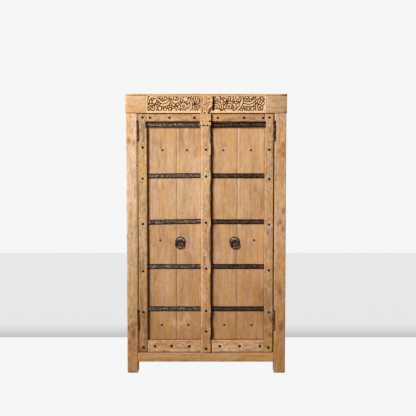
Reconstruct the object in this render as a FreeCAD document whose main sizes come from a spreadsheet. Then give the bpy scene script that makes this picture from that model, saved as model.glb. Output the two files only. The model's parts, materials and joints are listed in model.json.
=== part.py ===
import FreeCAD, Part
import math
import os
import Sketcher

# Two-door trastero cabinet in old timber, with iron straps, domed nails, ring pulls and barrel hinges.
# Millimetres. X runs to the right, Y to the back, Z up. The origin is on the floor, at the middle of
# the whole outline. The leaves stand closed.

# Driving sizes, in millimetres
SIZES = {
    # whole cabinet
    "total_height": 1830,
    "case_width": 1040,
    "case_depth": 460,
    "top_thickness": 12,
    "board_gap": 0.6,
    # posts
    "left_post_width": 70,
    "right_post_width": 74,
    "front_post_depth": 75,
    "rear_post_width": 45,
    "rear_post_depth": 60,
    "post_arris_width": 3,
    "foot_chamfer_width": 4,
    "foot_height": 75,
    # lintel and its carved board
    "lintel_height": 113,
    "lintel_proud": 6,
    "lintel_overhang": 3,
    "lintel_arris_width": 4,
    "end_block_width": 135,
    "frieze_thickness": 18,
    "frieze_sill": 3,
    "frieze_fit": 0.4,
    "frieze_side_border": 9,
    "frieze_bottom_border": 13,
    "frieze_top_border": 5,
    "ground_depth": 7,
    "foliage_height": 5.5,
    # rails and their joints
    "bottom_rail_height": 60,
    "bottom_rail_thickness": 45,
    "side_rail_thickness": 35,
    "rear_rail_thickness": 30,
    "rail_setback": 4,
    "rear_rail_setback": 10,
    "tenon_length": 25,
    "tenon_shoulder": 10,
    "mortise_clearance": 0.3,
    # boards that close the sides and the back
    "side_board_thickness": 18,
    "back_board_thickness": 15,
    "tongue_depth": 8,
    "groove_clearance": 0.2,
    # floor, shelves, cleats and door stops
    "floor_thickness": 22,
    "shelf_thickness": 22,
    "shelf_clearance": 1,
    "cleat_thickness": 22,
    "cleat_height": 30,
    "cleat_end_gap": 6,
    "stop_thickness": 22,
    "stop_gap": 1,
    # leaves
    "leaf_side_gap": 8,
    "leaf_end_gap": 4.5,
    "meeting_gap": 5,
    "frame_thickness": 22,
    "frame_arris_width": 3,
    "plank_thickness": 25,
    "plank_gap": 1.2,
    "stile_width": 57,
    "leaf_top_rail_height": 48,
    "leaf_bottom_rail_height": 79,
    "ledger_height": 70,
    "ledger_thickness": 22,
    "ledger_hinge_inset": 25,
    "ledger_meeting_inset": 42,
    # batten and carved capital
    "batten_width": 66.5,
    "batten_offset": 1.75,
    "batten_proud": 8,
    "batten_chamfer": 10,
    "batten_stop_gap": 16,
    "batten_stop_length": 30,
    "batten_lap": 2,
    "neck_height": 58,
    "neck_inset": 3,
    "block_height": 78,
    "block_width": 71.5,
    "block_proud": 18,
    "block_overlap": 6,
    "block_corner": 6,
    "apron_depth": 6,
    "crest_width": 86,
    "crest_proud": 26,
    "crest_leaf_height": 2.5,
    "knob_radius": 16,
    "knob_proud": 5,
    "knob_bevel": 4,
    "crest_clearance": 1,
    "crest_drop": 13,
    # iron straps
    "strap_height": 33,
    "strap_thickness": 2.5,
    "strap_rib_height": 17,
    "strap_rib_proud": 2,
    "strap_end_gap": 0.8,
    "top_strap_gap": 4.2,
    "strap_notch": 8,
    # nails
    "stud_radius": 8,
    "stud_proud": 5,
    "stud_bevel": 3.8,
    "stud_shank": 5,
    "plank_nail_radius": 6.2,
    "plank_nail_proud": 2.5,
    "plank_nail_bevel": 2,
    "plank_nail_shank": 3.5,
    "nail_clearance": 0.05,
    "nail_end_wood": 6,
    # barrel hinges
    "knuckle_length": 66,
    "knuckle_radius": 5.5,
    "knuckle_gap": 0.3,
    "hinge_pin_radius": 3,
    "pin_seat": 0.01,
    "pin_running_clearance": 0.06,
    "pin_end_inset": 3,
    "hinge_stand_off": 4.5,
    "hinge_plate_thickness": 2.5,
    "hinge_plate_reach": 32,
    "hinge_plate_clearance": 1,
    # ring pulls
    "pull_plate_radius": 34,
    "pull_rim_proud": 5.5,
    "pull_rim_width": 7,
    "pull_rim_bevel": 3,
    "pull_dish_proud": 2.2,
    "pull_boss_radius": 12,
    "pull_boss_proud": 3.8,
    "pull_boss_bevel": 1.2,
    "eye_stand_off": 12,
    "eye_rise": 7.5,
    "eye_bar": 4,
    "staple_shank": 4,
    "ring_radius": 25.8,
    "ring_bar_radius": 3.5,
    "ring_bar_bevel": 2.1,
    "ring_eye_clearance": 0.6,
    # cuts run this far past the surface they leave by
    "overrun": 20,
}

# Heights on a leaf, as shares of its height
STRAP_HEIGHT_SHARES = (0.182, 0.362, 0.551, 0.744)
LEDGER_HEIGHT_SHARES = (0.1124, 0.473, 0.851)
HINGE_HEIGHT_SHARES = {"lower": 0.138, "upper": 0.931}
STILE_NAIL_SHARES = {
    "left": (0.0207, 0.1705, 0.3433, 0.5428, 0.7328, 0.8618, 0.9864),
    "right": (0.0203, 0.1700, 0.3474, 0.5407, 0.7311, 0.8526, 0.9864),
}
BATTEN_NAIL_SHARES = (0.0161, 0.0890, 0.1769, 0.3560, 0.5483, 0.7412, 0.8526)
# Places along a leaf's rails, as shares of the rail's length from its left end
TOP_RAIL_NAIL_SHARES = {"left": (0.058, 0.428, 0.896), "right": (0.112, 0.605, 0.963)}
BOTTOM_RAIL_NAIL_SHARES = {"left": (0.132, 0.448, 0.779), "right": (0.151, 0.530, 0.918)}
# Places along each ledger, lowest first, as shares of the leaf's width from its left edge
PLANK_NAIL_SHARES = {
    "left": ((0.316, 0.687), (0.295,), (0.333, 0.668)),
    "right": ((0.2065, 0.655), (0.694,), (0.1895, 0.635)),
}
PLANK_SEAM_SHARES = {"left": 0.525, "right": 0.416}
# Each pull's place across and up its leaf
PULL_SHARES = {"left": (0.578, 0.467), "right": (0.372, 0.467)}
# The capital in front view: corners as shares of the piece's width and height from its lower left,
# and for the edges that are arcs, by the number of the corner they start from, a point on the arc
CREST_SHARES = (
    (0, 0), (0, 0.31), (0.03, 0.58), (0.05, 1), (0.895, 1), (0.92, 0.63), (0.73, 0.32), (0.6, 0.08), (0.6, 0),
)
CREST_BEND_SHARES = {1: (0.08, 0.44), 4: (1, 0.79), 5: (0.95, 0.47), 6: (0.64, 0.2)}
APRON_SHARES = ((0, 0.1), (0.34, 0.08), (0.7, 0.08), (1, 0.11), (1, 1), (0, 1))
APRON_BEND_SHARES = {0: (0.17, 0.01), 1: (0.52, 0.01), 2: (0.86, 0.01)}
KNOB_SHARES = (0.36, 0.65)

# Carved leaves and stems: root, a point on the outer side, tip, a point on the inner side, each as
# shares of the width and height of the panel that they are carved in
CREST_LEAF_SHARES = (
    ((0.80, 0.94), (0.94, 0.79), (0.82, 0.63), (0.84, 0.79)),
    ((0.80, 0.58), (0.90, 0.48), (0.66, 0.31), (0.77, 0.46)),
    ((0.11, 0.95), (0.07, 0.77), (0.09, 0.60), (0.15, 0.78)),
)
FOLIAGE_SHARES = {
    "left": (
        ((0.04, 0.58), (0.11, 0.94), (0.24, 0.68), (0.12, 0.80)),
        ((0.24, 0.72), (0.34, 0.56), (0.42, 0.93), (0.345, 0.72)),
        ((0.15, 0.42), (0.36, 0.40), (0.45, 0.97), (0.34, 0.54)),
        ((0.45, 0.96), (0.47, 0.54), (0.57, 0.38), (0.50, 0.63)),
        ((0.45, 0.27), (0.60, 0.03), (0.77, 0.16), (0.61, 0.15)),
        ((0.60, 0.50), (0.69, 0.57), (0.75, 0.28), (0.67, 0.45)),
        ((0.75, 0.54), (0.765, 0.76), (0.83, 0.95), (0.80, 0.74)),
        ((0.86, 0.80), (0.935, 0.79), (0.98, 0.58), (0.905, 0.59)),
        ((0.115, 0.43), (0.14, 0.22), (0.10, 0.04), (0.118, 0.23)),
    ),
    "right": (
        ((0.02, 0.58), (0.12, 0.42), (0.10, 0.08), (0.10, 0.36)),
        ((0.02, 0.72), (0.09, 0.95), (0.15, 0.66), (0.09, 0.82)),
        ((0.18, 0.19), (0.27, 0.64), (0.38, 0.08), (0.27, 0.53)),
        ((0.27, 0.69), (0.33, 0.88), (0.42, 0.97), (0.35, 0.80)),
        ((0.57, 0.97), (0.54, 0.38), (0.43, 0.03), (0.51, 0.42)),
        ((0.59, 0.63), (0.71, 0.50), (0.82, 0.74), (0.71, 0.59)),
        ((0.80, 0.72), (0.88, 0.87), (0.96, 0.62), (0.88, 0.77)),
        ((0.61, 0.82), (0.67, 0.97), (0.73, 0.80), (0.67, 0.90)),
        ((0.88, 0.44), (0.965, 0.36), (0.94, 0.09), (0.94, 0.33)),
    ),
}

# Angles in degrees: straps lie a little out of level, and the left ring hangs askew
STRAP_TILTS = {"left": (0, 0, 1.1, 0.5, 0), "right": (0, 0, 0, 0, 0.6)}
PULL_TURNS = {"left": 20, "right": 0}
FULL_TURN = 360
RIGHT_ANGLE = 90

# Counts
SIDES = ("left", "right")
SHELVES = ("shelf_lower", "shelf_middle", "shelf_upper")
SIDE_BOARDS = 3
BACK_BOARDS = 5
FLOOR_BOARDS = 3
TOP_BOARDS = 3
RING_FLATS = 24
PLATE_FLATS = 32
BOSS_FLATS = 16
NAIL_FACETS = 8


class Size:
    """A length that knows its number and the formula that the sheet keeps for it."""

    def __init__(self, number, formula):
        self.number = number
        self.formula = formula

    def __add__(self, other):
        return combined(self, "+", other, self.number + number_of(other))

    def __radd__(self, other):
        return combined(other, "+", self, number_of(other) + self.number)

    def __sub__(self, other):
        return combined(self, "-", other, self.number - number_of(other))

    def __rsub__(self, other):
        return combined(other, "-", self, number_of(other) - self.number)

    def __mul__(self, other):
        return combined(self, "*", other, self.number * number_of(other))

    def __rmul__(self, other):
        return combined(other, "*", self, number_of(other) * self.number)

    def __truediv__(self, other):
        return combined(self, "/", other, self.number / number_of(other))

    def __neg__(self):
        return combined(0, "-", self, -self.number)


def number_of(value):
    return value.number if isinstance(value, Size) else value


def formula_of(value):
    return value.formula if isinstance(value, Size) else f"{value:.9f}"


def combined(first, sign, second, number):
    return Size(number, f"({formula_of(first)} {sign} {formula_of(second)})")


class Sheet:
    """The driving sizes, kept in the document's spreadsheet and read by name."""

    def __init__(self, document, sizes):
        cells = document.addObject("Spreadsheet::Sheet", "Sizes")
        for row, (alias, number) in enumerate(sizes.items(), start=1):
            cells.set(f"A{row}", alias)
            cells.set(f"B{row}", str(number))
            cells.setAlias(f"B{row}", alias)
            setattr(self, alias, Size(number, f"Sizes.{alias}"))
        document.recompute()


doc = FreeCAD.newDocument("trastero_cabinet")
size = Sheet(doc, SIZES)
sub_parts = []


# Helpers, each of which makes or changes one document object

def bound(item, name, value):
    """Bind one property of an object to a formula of sizes."""
    item.setExpression(name, formula_of(value))


def place(item, x, y, z):
    for axis, value in zip("xyz", (x, y, z)):
        bound(item, f"Placement.Base.{axis}", value)


def turned(item, axis, degrees):
    """Turn an object about one of its own axes; its place is bound afterwards."""
    item.Placement = FreeCAD.Placement(FreeCAD.Vector(), FreeCAD.Rotation(axis, degrees))


def board(name, x, y, z):
    """A straight piece between its low and high ends along X, Y and Z."""
    box = doc.addObject("Part::Box", name)
    for side, (low, high) in zip(("Length", "Width", "Height"), (x, y, z)):
        bound(box, side, high - low)
    place(box, x[0], y[0], z[0])
    return box


def cylinder(name, radius, x, y, z):
    """An upright round bar; z is its low and high end."""
    bar = doc.addObject("Part::Cylinder", name)
    bound(bar, "Radius", radius)
    bound(bar, "Height", z[1] - z[0])
    place(bar, x, y, z[0])
    return bar


def joined(name, pieces):
    fuse = doc.addObject("Part::MultiFuse", name)
    fuse.Shapes = pieces
    return fuse


def gathered(name, pieces):
    """Several separate solids that share one node."""
    group = doc.addObject("Part::Compound", name)
    group.Links = pieces
    return group


def cut(name, base, tools):
    """Base less its tools."""
    trimmed = doc.addObject("Part::Cut", name)
    trimmed.Base = base
    trimmed.Tool = tools[0] if len(tools) == 1 else gathered(f"{name}_tools", tools)
    return trimmed


def sub_part(item, label):
    """Name a finished piece, which is then written to a file of that name."""
    item.Label = label
    sub_parts.append(item)
    return item


def widened(spans, clearance):
    return tuple((low - clearance, high + clearance) for low, high in spans)


def centred(middle, width):
    return (middle - width / 2, middle + width / 2)


def share_of(span, share):
    return span[0] + (span[1] - span[0]) * share


def origin_feature(body, role):
    return [feature for feature in body.Origin.OriginFeatures if feature.Role == role][0]


def fixed_point(sketch, name, edge, end, point):
    """Hold one end of an edge at a point given by formulas."""
    for axis, value in zip("XY", point):
        rule = Sketcher.Constraint(f"Distance{axis}", -1, 1, edge, end, number_of(value))
        index = sketch.addConstraint(rule)
        sketch.renameConstraint(index, f"{name}{axis}")
        sketch.setExpression(f"Constraints.{name}{axis}", formula_of(value))


def flat(point):
    return FreeCAD.Vector(number_of(point[0]), number_of(point[1]), 0)


def outline(body, role, name, points, offset=0, bends=None):
    """A closed sketch on one of the body's origin planes or beside it.

    Its edges run from corner to corner, straight or, where bends gives a point for the edge that
    starts from that corner, as an arc through that point.
    """
    bends = bends or {}
    sketch = body.newObject("Sketcher::SketchObject", name)
    sketch.AttachmentSupport = (origin_feature(body, role), "")
    sketch.MapMode = "FlatFace"
    bound(sketch, "AttachmentOffset.Base.z", offset)
    corners = [flat(point) for point in points]
    first_ends = []
    for edge, (corner, following) in enumerate(zip(corners, corners[1:] + corners[:1])):
        if edge in bends:
            bend = flat(bends[edge])
            # a sketch keeps every arc counterclockwise, so one that turns right is drawn from its end
            turns_left = (bend - corner).cross(following - corner).z > 0
            ends = (corner, following) if turns_left else (following, corner)
            sketch.addGeometry(Part.Arc(ends[0], bend, ends[1]), False)
            first_ends.append(1 if turns_left else 2)
        else:
            sketch.addGeometry(Part.LineSegment(corner, following), False)
            first_ends.append(1)
    for edge, point in enumerate(points):
        following = (edge + 1) % len(points)
        last_end = 3 - first_ends[edge]
        sketch.addConstraint(
            Sketcher.Constraint("Coincident", edge, last_end, following, first_ends[following])
        )
        fixed_point(sketch, f"corner{edge}", edge, first_ends[edge], point)
    for edge, bend in bends.items():
        guide = sketch.addGeometry(Part.Point(flat(bend)), True)
        sketch.addConstraint(Sketcher.Constraint("PointOnObject", guide, 1, edge))
        fixed_point(sketch, f"bend{edge}", guide, 1, bend)
    return sketch


def rectangle(x, y):
    return ((x[0], y[0]), (x[1], y[0]), (x[1], y[1]), (x[0], y[1]))


def pad(body, sketch, length):
    feature = body.newObject("PartDesign::Pad", f"{sketch.Name}_pad")
    feature.Profile = sketch
    bound(feature, "Length", length)
    return feature


def pocket(body, sketch, depth):
    feature = body.newObject("PartDesign::Pocket", f"{sketch.Name}_pocket")
    feature.Profile = sketch
    bound(feature, "Length", depth)
    return feature


def bevelled(body, name, width, picked):
    """Take off those edges of what the body is so far whose bounds are picked."""
    doc.recompute()
    base = body.Tip
    edges = [
        f"Edge{index}" for index, edge in enumerate(base.Shape.Edges, start=1) if picked(edge.BoundBox)
    ]
    feature = body.newObject("PartDesign::Chamfer", name)
    feature.Base = (base, edges)
    bound(feature, "Size", width)
    body.Tip = feature


def revolution(body, sketch, role):
    """Turn a section all the way round one of the body's axes."""
    feature = body.newObject("PartDesign::Revolution", f"{sketch.Name}_revolution")
    feature.Profile = sketch
    feature.ReferenceAxis = (origin_feature(body, role), [""])
    feature.Angle = FULL_TURN
    return feature


def arrised(name, x, y, z, arris, along):
    """A board whose two front arrises are taken off along its length, along x or z."""
    body = doc.addObject("PartDesign::Body", name)
    if along == "z":
        section = (
            (x[0], y[1]), (x[0], y[0] + arris), (x[0] + arris, y[0]),
            (x[1] - arris, y[0]), (x[1], y[0] + arris), (x[1], y[1]),
        )
        pad(body, outline(body, "XY_Plane", f"{name}_section", section, z[0]), z[1] - z[0])
    else:
        section = (
            (y[1], z[0]), (y[0] + arris, z[0]), (y[0], z[0] + arris),
            (y[0], z[1] - arris), (y[0] + arris, z[1]), (y[1], z[1]),
        )
        pad(body, outline(body, "YZ_Plane", f"{name}_section", section, x[0]), x[1] - x[0])
    return body


def in_panel(panel, point_shares):
    """A point given as shares of a panel's width and height."""
    return share_of(panel[0], point_shares[0]), share_of(panel[1], point_shares[1])


def carved_leaves(body, name, panel, table, ground, height):
    """Leaves and stems left standing on a ground, each between two arcs from its root to its tip."""
    for index, leaf_shares in enumerate(table):
        root, outer, tip, inner = [in_panel(panel, point_shares) for point_shares in leaf_shares]
        face = outline(body, "XZ_Plane", f"{name}_{index}", (root, tip), -ground, {0: outer, 1: inner})
        pad(body, face, height)


def polygon_section(middle, radius, corners):
    """Corners of a bar's regular section, flat sides square to its axes."""
    points = []
    for corner in range(corners):
        angle = 2 * math.pi * (corner + 1 / 2) / corners
        points.append((middle[0] + radius * math.cos(angle), middle[1] + radius * math.sin(angle)))
    return points


# Main planes and edges, worked out from the sizes

half_width = size.case_width / 2
front = (size.crest_proud - size.case_depth) / 2
back = front + size.case_depth
post_back = front + size.front_post_depth
rear_post_front = back - size.rear_post_depth
rear_post_inner = half_width - size.rear_post_width
top_underside = size.total_height - size.top_thickness
lintel_bottom = top_underside - size.lintel_height
lintel_front = front - size.lintel_proud
lintel_half = half_width + size.lintel_overhang
rail_top = size.foot_height + size.bottom_rail_height
opening_left = size.left_post_width - half_width
opening_right = half_width - size.right_post_width
side_outer = half_width - size.rail_setback
side_inner = side_outer - size.side_rail_thickness
side_board_outer = (side_outer + side_inner + size.side_board_thickness) / 2
side_board_inner = side_board_outer - size.side_board_thickness
rear_rail_back = back - size.rear_rail_setback
rear_rail_front = rear_rail_back - size.rear_rail_thickness
back_board_back = (rear_rail_back + rear_rail_front + size.back_board_thickness) / 2
back_board_front = back_board_back - size.back_board_thickness
plank_front = front + size.frame_thickness
plank_back = plank_front + size.plank_thickness
leaf_span = (rail_top + size.leaf_end_gap, lintel_bottom - size.leaf_end_gap)
batten_left = -size.batten_width / 2 - size.batten_offset
batten_right = size.batten_width / 2 - size.batten_offset
block_left = batten_left - size.block_overlap
block_top = lintel_bottom - size.leaf_end_gap / 2
batten_top = block_top - size.block_height
crest_x = (block_left, block_left + size.crest_width)
crest_z = (block_top - size.crest_drop, top_underside)

# Each leaf's planks, rails and straps run between these ends, from left to right
LEAF_X = {
    "left": (opening_left + size.leaf_side_gap, batten_right - size.batten_lap),
    "right": (batten_right + size.meeting_gap, opening_right - size.leaf_side_gap),
}
STILE_X = {
    "left": (LEAF_X["left"][0], LEAF_X["left"][0] + size.stile_width),
    "right": (LEAF_X["right"][1] - size.stile_width, LEAF_X["right"][1]),
}
PANEL_X = {
    "left": (STILE_X["left"][1], batten_left),
    "right": (LEAF_X["right"][0], STILE_X["right"][0]),
}
HEAD_X = {"left": (STILE_X["left"][1], block_left), "right": PANEL_X["right"]}

# Case members as spans along X, Y and Z
FRONT_POSTS = {
    "left": ((-half_width, opening_left), (front, post_back), (0, lintel_bottom)),
    "right": ((opening_right, half_width), (front, post_back), (0, lintel_bottom)),
}
REAR_POSTS = {
    "left": ((-half_width, -rear_post_inner), (rear_post_front, back), (0, top_underside)),
    "right": ((rear_post_inner, half_width), (rear_post_front, back), (0, top_underside)),
}
SIDE_X = {"left": (-side_outer, -side_inner), "right": (side_inner, side_outer)}
SIDE_BOARD_X = {
    "left": (-side_board_outer, -side_board_inner),
    "right": (side_board_inner, side_board_outer),
}
SIDE_Y = (post_back, rear_post_front)
RAIL_Z = {"bottom": (size.foot_height, rail_top), "top": (lintel_bottom, top_underside)}
REAR_X = (-rear_post_inner, rear_post_inner)
REAR_RAIL_Y = (rear_rail_front, rear_rail_back)
FRONT_RAIL = (
    (opening_left, opening_right),
    (front, front + size.bottom_rail_thickness),
    RAIL_Z["bottom"],
)
PANEL_Z = (rail_top - size.tongue_depth, lintel_bottom + size.tongue_depth)
SIDE_PANELS = {
    side: (SIDE_BOARD_X[side], (post_back - size.tongue_depth, rear_post_front + size.tongue_depth), PANEL_Z)
    for side in SIDES
}
BACK_PANEL = (
    (-rear_post_inner - size.tongue_depth, rear_post_inner + size.tongue_depth),
    (back_board_front, back_board_back),
    PANEL_Z,
)


# Joinery of the case

def tenon_spans(member, axis, end):
    """Where a member's tenon lies, beyond its low (0) or high (1) end along an axis."""
    spans = list((low + size.tenon_shoulder, high - size.tenon_shoulder) for low, high in member)
    edge = member[axis][end]
    spans[axis] = (edge, edge + size.tenon_length) if end else (edge - size.tenon_length, edge)
    return tuple(spans)


def post_tenon_spans(post):
    """The tenon on a front post's top, kept clear of the side rail's tenon behind it."""
    spans = list(tenon_spans(post, 2, 1))
    spans[1] = (post[1][0] + size.tenon_shoulder, post[1][1] - size.tenon_length - size.tenon_shoulder)
    return tuple(spans)


def mortise(name, spans):
    return board(name, *widened(spans, size.mortise_clearance))


def groove(name, panel):
    return board(name, *widened(panel, size.groove_clearance))


def side_rail(side, level):
    return (SIDE_X[side], SIDE_Y, RAIL_Z[level])


def rear_rail(level):
    return (REAR_X, REAR_RAIL_Y, RAIL_Z[level])


def tenoned_rail(label, member, axis, panels):
    """A rail with a tenon at each end and a groove for the boards that stand in it."""
    pieces = [board(f"{label}_blank", *member)]
    pieces += [board(f"{label}_tenon_{end}", *tenon_spans(member, axis, end)) for end in (0, 1)]
    whole = joined(f"{label}_whole", pieces)
    tools = [groove(f"{label}_groove_{index}", panel) for index, panel in enumerate(panels)]
    if tools:
        whole = cut(f"{label}_grooved", whole, tools)
    return sub_part(whole, label)


def boarded(name, spans, axis, count):
    """A run of equal boards side by side along one axis."""
    low, high = spans[axis]
    step = (high - low + size.board_gap) / count
    boards = []
    for index in range(count):
        own = list(spans)
        own[axis] = (low + step * index, low + step * (index + 1) - size.board_gap)
        boards.append(board(f"{name}_{index + 1}", *own))
    return boards


def chamfered_foot(body, name):
    """Take the sharp edge off a post where it meets the floor."""
    limit = number_of(size.foot_chamfer_width)
    bevelled(body, name, size.foot_chamfer_width, lambda bounds: bounds.ZMax < limit)


def front_post(side):
    """A front post, its lower end left proud of the rails as a foot."""
    label = f"front_post_{side}"
    post = FRONT_POSTS[side]
    shaft = arrised(f"{label}_shaft", *post, size.post_arris_width, "z")
    chamfered_foot(shaft, f"{label}_foot")
    whole = joined(f"{label}_whole", [shaft, board(f"{label}_tenon", *post_tenon_spans(post))])
    inner_end = 0 if side == "left" else 1
    tools = [
        mortise(f"{label}_front_mortise", tenon_spans(FRONT_RAIL, 0, inner_end)),
        mortise(f"{label}_side_mortise", tenon_spans(side_rail(side, "bottom"), 1, 0)),
        groove(f"{label}_groove", SIDE_PANELS[side]),
    ]
    return sub_part(cut(f"{label}_cut", whole, tools), label)


def rear_post(side):
    label = f"rear_post_{side}"
    shaft = arrised(f"{label}_shaft", *REAR_POSTS[side], size.post_arris_width, "z")
    chamfered_foot(shaft, f"{label}_foot")
    inner_end = 0 if side == "left" else 1
    tools = [
        groove(f"{label}_side_groove", SIDE_PANELS[side]),
        groove(f"{label}_back_groove", BACK_PANEL),
    ]
    for level in RAIL_Z:
        tools.append(mortise(f"{label}_side_mortise_{level}", tenon_spans(side_rail(side, level), 1, 1)))
        tools.append(mortise(f"{label}_rear_mortise_{level}", tenon_spans(rear_rail(level), 0, inner_end)))
    return sub_part(cut(f"{label}_cut", shaft, tools), label)


frieze_x = (size.end_block_width - lintel_half, lintel_half - size.end_block_width)
frieze_y = (lintel_front, lintel_front + size.frieze_thickness)
frieze_z = (lintel_bottom + size.frieze_sill, top_underside)


def lintel():
    """The head beam over the front posts, with a housing for the carved board in its face."""
    blank = arrised(
        "lintel_blank", (-lintel_half, lintel_half), (lintel_front, post_back), RAIL_Z["top"],
        size.lintel_arris_width, "x",
    )
    housing = board(
        "lintel_housing",
        (frieze_x[0] - size.frieze_fit, frieze_x[1] + size.frieze_fit),
        (frieze_y[0] - size.overrun, frieze_y[1] + size.frieze_fit),
        (frieze_z[0], frieze_z[1] + size.overrun),
    )
    tools = [housing]
    for side in SIDES:
        tools.append(mortise(f"lintel_post_mortise_{side}", post_tenon_spans(FRONT_POSTS[side])))
        tools.append(mortise(f"lintel_rail_mortise_{side}", tenon_spans(side_rail(side, "top"), 1, 0)))
        tools.append(groove(f"lintel_groove_{side}", SIDE_PANELS[side]))
    return sub_part(cut("lintel_cut", blank, tools), "lintel")


def carved_frieze():
    """The carved board: a border and scrolling foliage left standing on a sunk ground."""
    body = doc.addObject("PartDesign::Body", "frieze_board")
    face = outline(body, "XZ_Plane", "frieze_face", rectangle(frieze_x, frieze_z), -frieze_y[1])
    pad(body, face, size.frieze_thickness)
    ground_x = (frieze_x[0] + size.frieze_side_border, frieze_x[1] - size.frieze_side_border)
    ground_z = (frieze_z[0] + size.frieze_bottom_border, frieze_z[1] - size.frieze_top_border)
    ground = outline(body, "XZ_Plane", "frieze_ground", rectangle(ground_x, ground_z), -frieze_y[0])
    pocket(body, ground, size.ground_depth)
    panels = {"left": ((ground_x[0], crest_x[0]), ground_z), "right": ((crest_x[1], ground_x[1]), ground_z)}
    for side, panel in panels.items():
        ground_y = frieze_y[0] + size.ground_depth
        table = FOLIAGE_SHARES[side]
        carved_leaves(body, f"{side}_foliage", panel, table, ground_y, size.foliage_height)
    return sub_part(body, "carved_frieze")


def case_rails():
    tenoned_rail("front_bottom_rail", FRONT_RAIL, 0, [])
    for side in SIDES:
        for level in RAIL_Z:
            tenoned_rail(f"{side}_side_{level}_rail", side_rail(side, level), 1, [SIDE_PANELS[side]])
    for level in RAIL_Z:
        tenoned_rail(f"rear_{level}_rail", rear_rail(level), 0, [BACK_PANEL])


def case_boards():
    """Upright boards in the sides and back, and the boards over the top."""
    for side in SIDES:
        boards = boarded(f"{side}_side_board", SIDE_PANELS[side], 1, SIDE_BOARDS)
        sub_part(gathered(f"{side}_side_group", boards), f"{side}_side_boards")
    boards = boarded("back_board", BACK_PANEL, 0, BACK_BOARDS)
    sub_part(gathered("back_group", boards), "back_boards")
    top = ((-lintel_half, lintel_half), (lintel_front, back), (top_underside, size.total_height))
    sub_part(gathered("top_group", boarded("top_board", top, 1, TOP_BOARDS)), "top_boards")


def floor_boards():
    """Boards across the bottom rails' cleats, the first one notched round the front posts."""
    inner = rear_post_inner - size.shelf_clearance
    spans = (
        (-inner, inner),
        (FRONT_RAIL[1][1] + size.shelf_clearance, rear_rail_front - size.shelf_clearance),
        (rail_top - size.floor_thickness, rail_top),
    )
    boards = boarded("floor_board", spans, 1, FLOOR_BOARDS)
    notches = []
    for side in SIDES:
        x, y, z = widened(FRONT_POSTS[side], size.shelf_clearance)
        notches.append(board(f"floor_notch_{side}", x, y, z))
    boards[0] = cut("floor_board_1_cut", boards[0], notches)
    sub_part(gathered("floor_group", boards), "floor_boards")


def shelf_tops():
    """Shelves share the height between floor and lintel evenly."""
    bays = len(SHELVES) + 1
    return [share_of((rail_top, lintel_bottom), (index + 1) / bays) for index in range(len(SHELVES))]


def shelves():
    """Three boards, each notched round the rear posts."""
    half = side_board_inner - size.shelf_clearance
    y = (post_back + size.shelf_clearance, back_board_front - size.shelf_clearance)
    for label, top in zip(SHELVES, shelf_tops()):
        blank = board(f"{label}_blank", (-half, half), y, (top - size.shelf_thickness, top))
        notches = [
            board(f"{label}_notch_{side}", *widened(REAR_POSTS[side], size.shelf_clearance))
            for side in SIDES
        ]
        sub_part(cut(f"{label}_cut", blank, notches), label)


def shelf_cleats():
    """Cleats on the side boards under each shelf, and on the bottom rails under the floor."""
    y = (post_back + size.cleat_end_gap, rear_post_front - size.cleat_end_gap)
    levels = [("floor", rail_top - size.floor_thickness, side_inner)]
    for label, top in zip(SHELVES, shelf_tops()):
        levels.append((label, top - size.shelf_thickness, side_board_inner))
    cleats = []
    for label, top, wall in levels:
        z = (top - size.cleat_height, top)
        cleats.append(board(f"{label}_cleat_left", (-wall, size.cleat_thickness - wall), y, z))
        cleats.append(board(f"{label}_cleat_right", (wall - size.cleat_thickness, wall), y, z))
    sub_part(gathered("cleat_group", cleats), "shelf_cleats")


def door_stops():
    """Strips behind the leaves, under the lintel and on the floor."""
    x = (opening_left, opening_right)
    y = (plank_back + size.stop_gap, plank_back + size.stop_gap + size.stop_thickness)
    upper = board("upper_stop", x, y, (lintel_bottom - size.stop_thickness, lintel_bottom))
    lower = board("lower_stop", x, y, (rail_top, rail_top + size.stop_thickness))
    sub_part(upper, "upper_door_stop")
    sub_part(lower, "lower_door_stop")


# Leaves

def nail(name, form):
    """A nail in its own frame: the forged, eight-sided head towards -Y, the shank towards +Y."""
    body = doc.addObject("PartDesign::Body", name)
    rim = polygon_section((0, 0), form["radius"], NAIL_FACETS)
    pad(body, outline(body, "XZ_Plane", f"{name}_rim", rim), form["proud"])
    half_height = number_of(form["proud"]) / 2
    bevelled(body, f"{name}_bevel", form["bevel"], lambda bounds: bounds.YMax < -half_height)
    span = centred(0, form["shank"])
    shank = outline(body, "XZ_Plane", f"{name}_shank", rectangle(span, span), -form["depth"])
    pad(body, shank, form["depth"])
    return body


def nail_hole(name, form):
    """The square hole that a nail's shank fills, open towards -Y."""
    span = centred(0, form["shank"] + size.nail_clearance * 2)
    depth = (-size.overrun, form["depth"] + size.nail_clearance)
    return gathered(name, [board(f"{name}_box", span, depth, span)])


STUD = {
    "radius": size.stud_radius,
    "proud": size.stud_proud,
    "bevel": size.stud_bevel,
    "shank": size.stud_shank,
    "depth": size.frame_thickness + size.plank_thickness - size.nail_end_wood,
}
PLANK_NAIL = {
    "radius": size.plank_nail_radius,
    "proud": size.plank_nail_proud,
    "bevel": size.plank_nail_bevel,
    "shank": size.plank_nail_shank,
    "depth": size.plank_thickness + size.ledger_thickness - size.nail_end_wood,
}


def stud_places(side):
    """Where each domed nail stands on a leaf's frame: x, surface and z."""
    top_z = leaf_span[1] - size.leaf_top_rail_height / 2
    bottom_z = leaf_span[0] + size.leaf_bottom_rail_height / 2
    places = []
    for share in STILE_NAIL_SHARES[side]:
        places.append((share_of(STILE_X[side], 1 / 2), front, share_of(leaf_span, share)))
    for share in TOP_RAIL_NAIL_SHARES[side]:
        places.append((share_of(HEAD_X[side], share), front, top_z))
    for share in BOTTOM_RAIL_NAIL_SHARES[side]:
        places.append((share_of(PANEL_X[side], share), front, bottom_z))
    if side == "left":
        for share in BATTEN_NAIL_SHARES:
            places.append((-size.batten_offset, front - size.batten_proud, share_of(leaf_span, share)))
    return places


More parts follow.
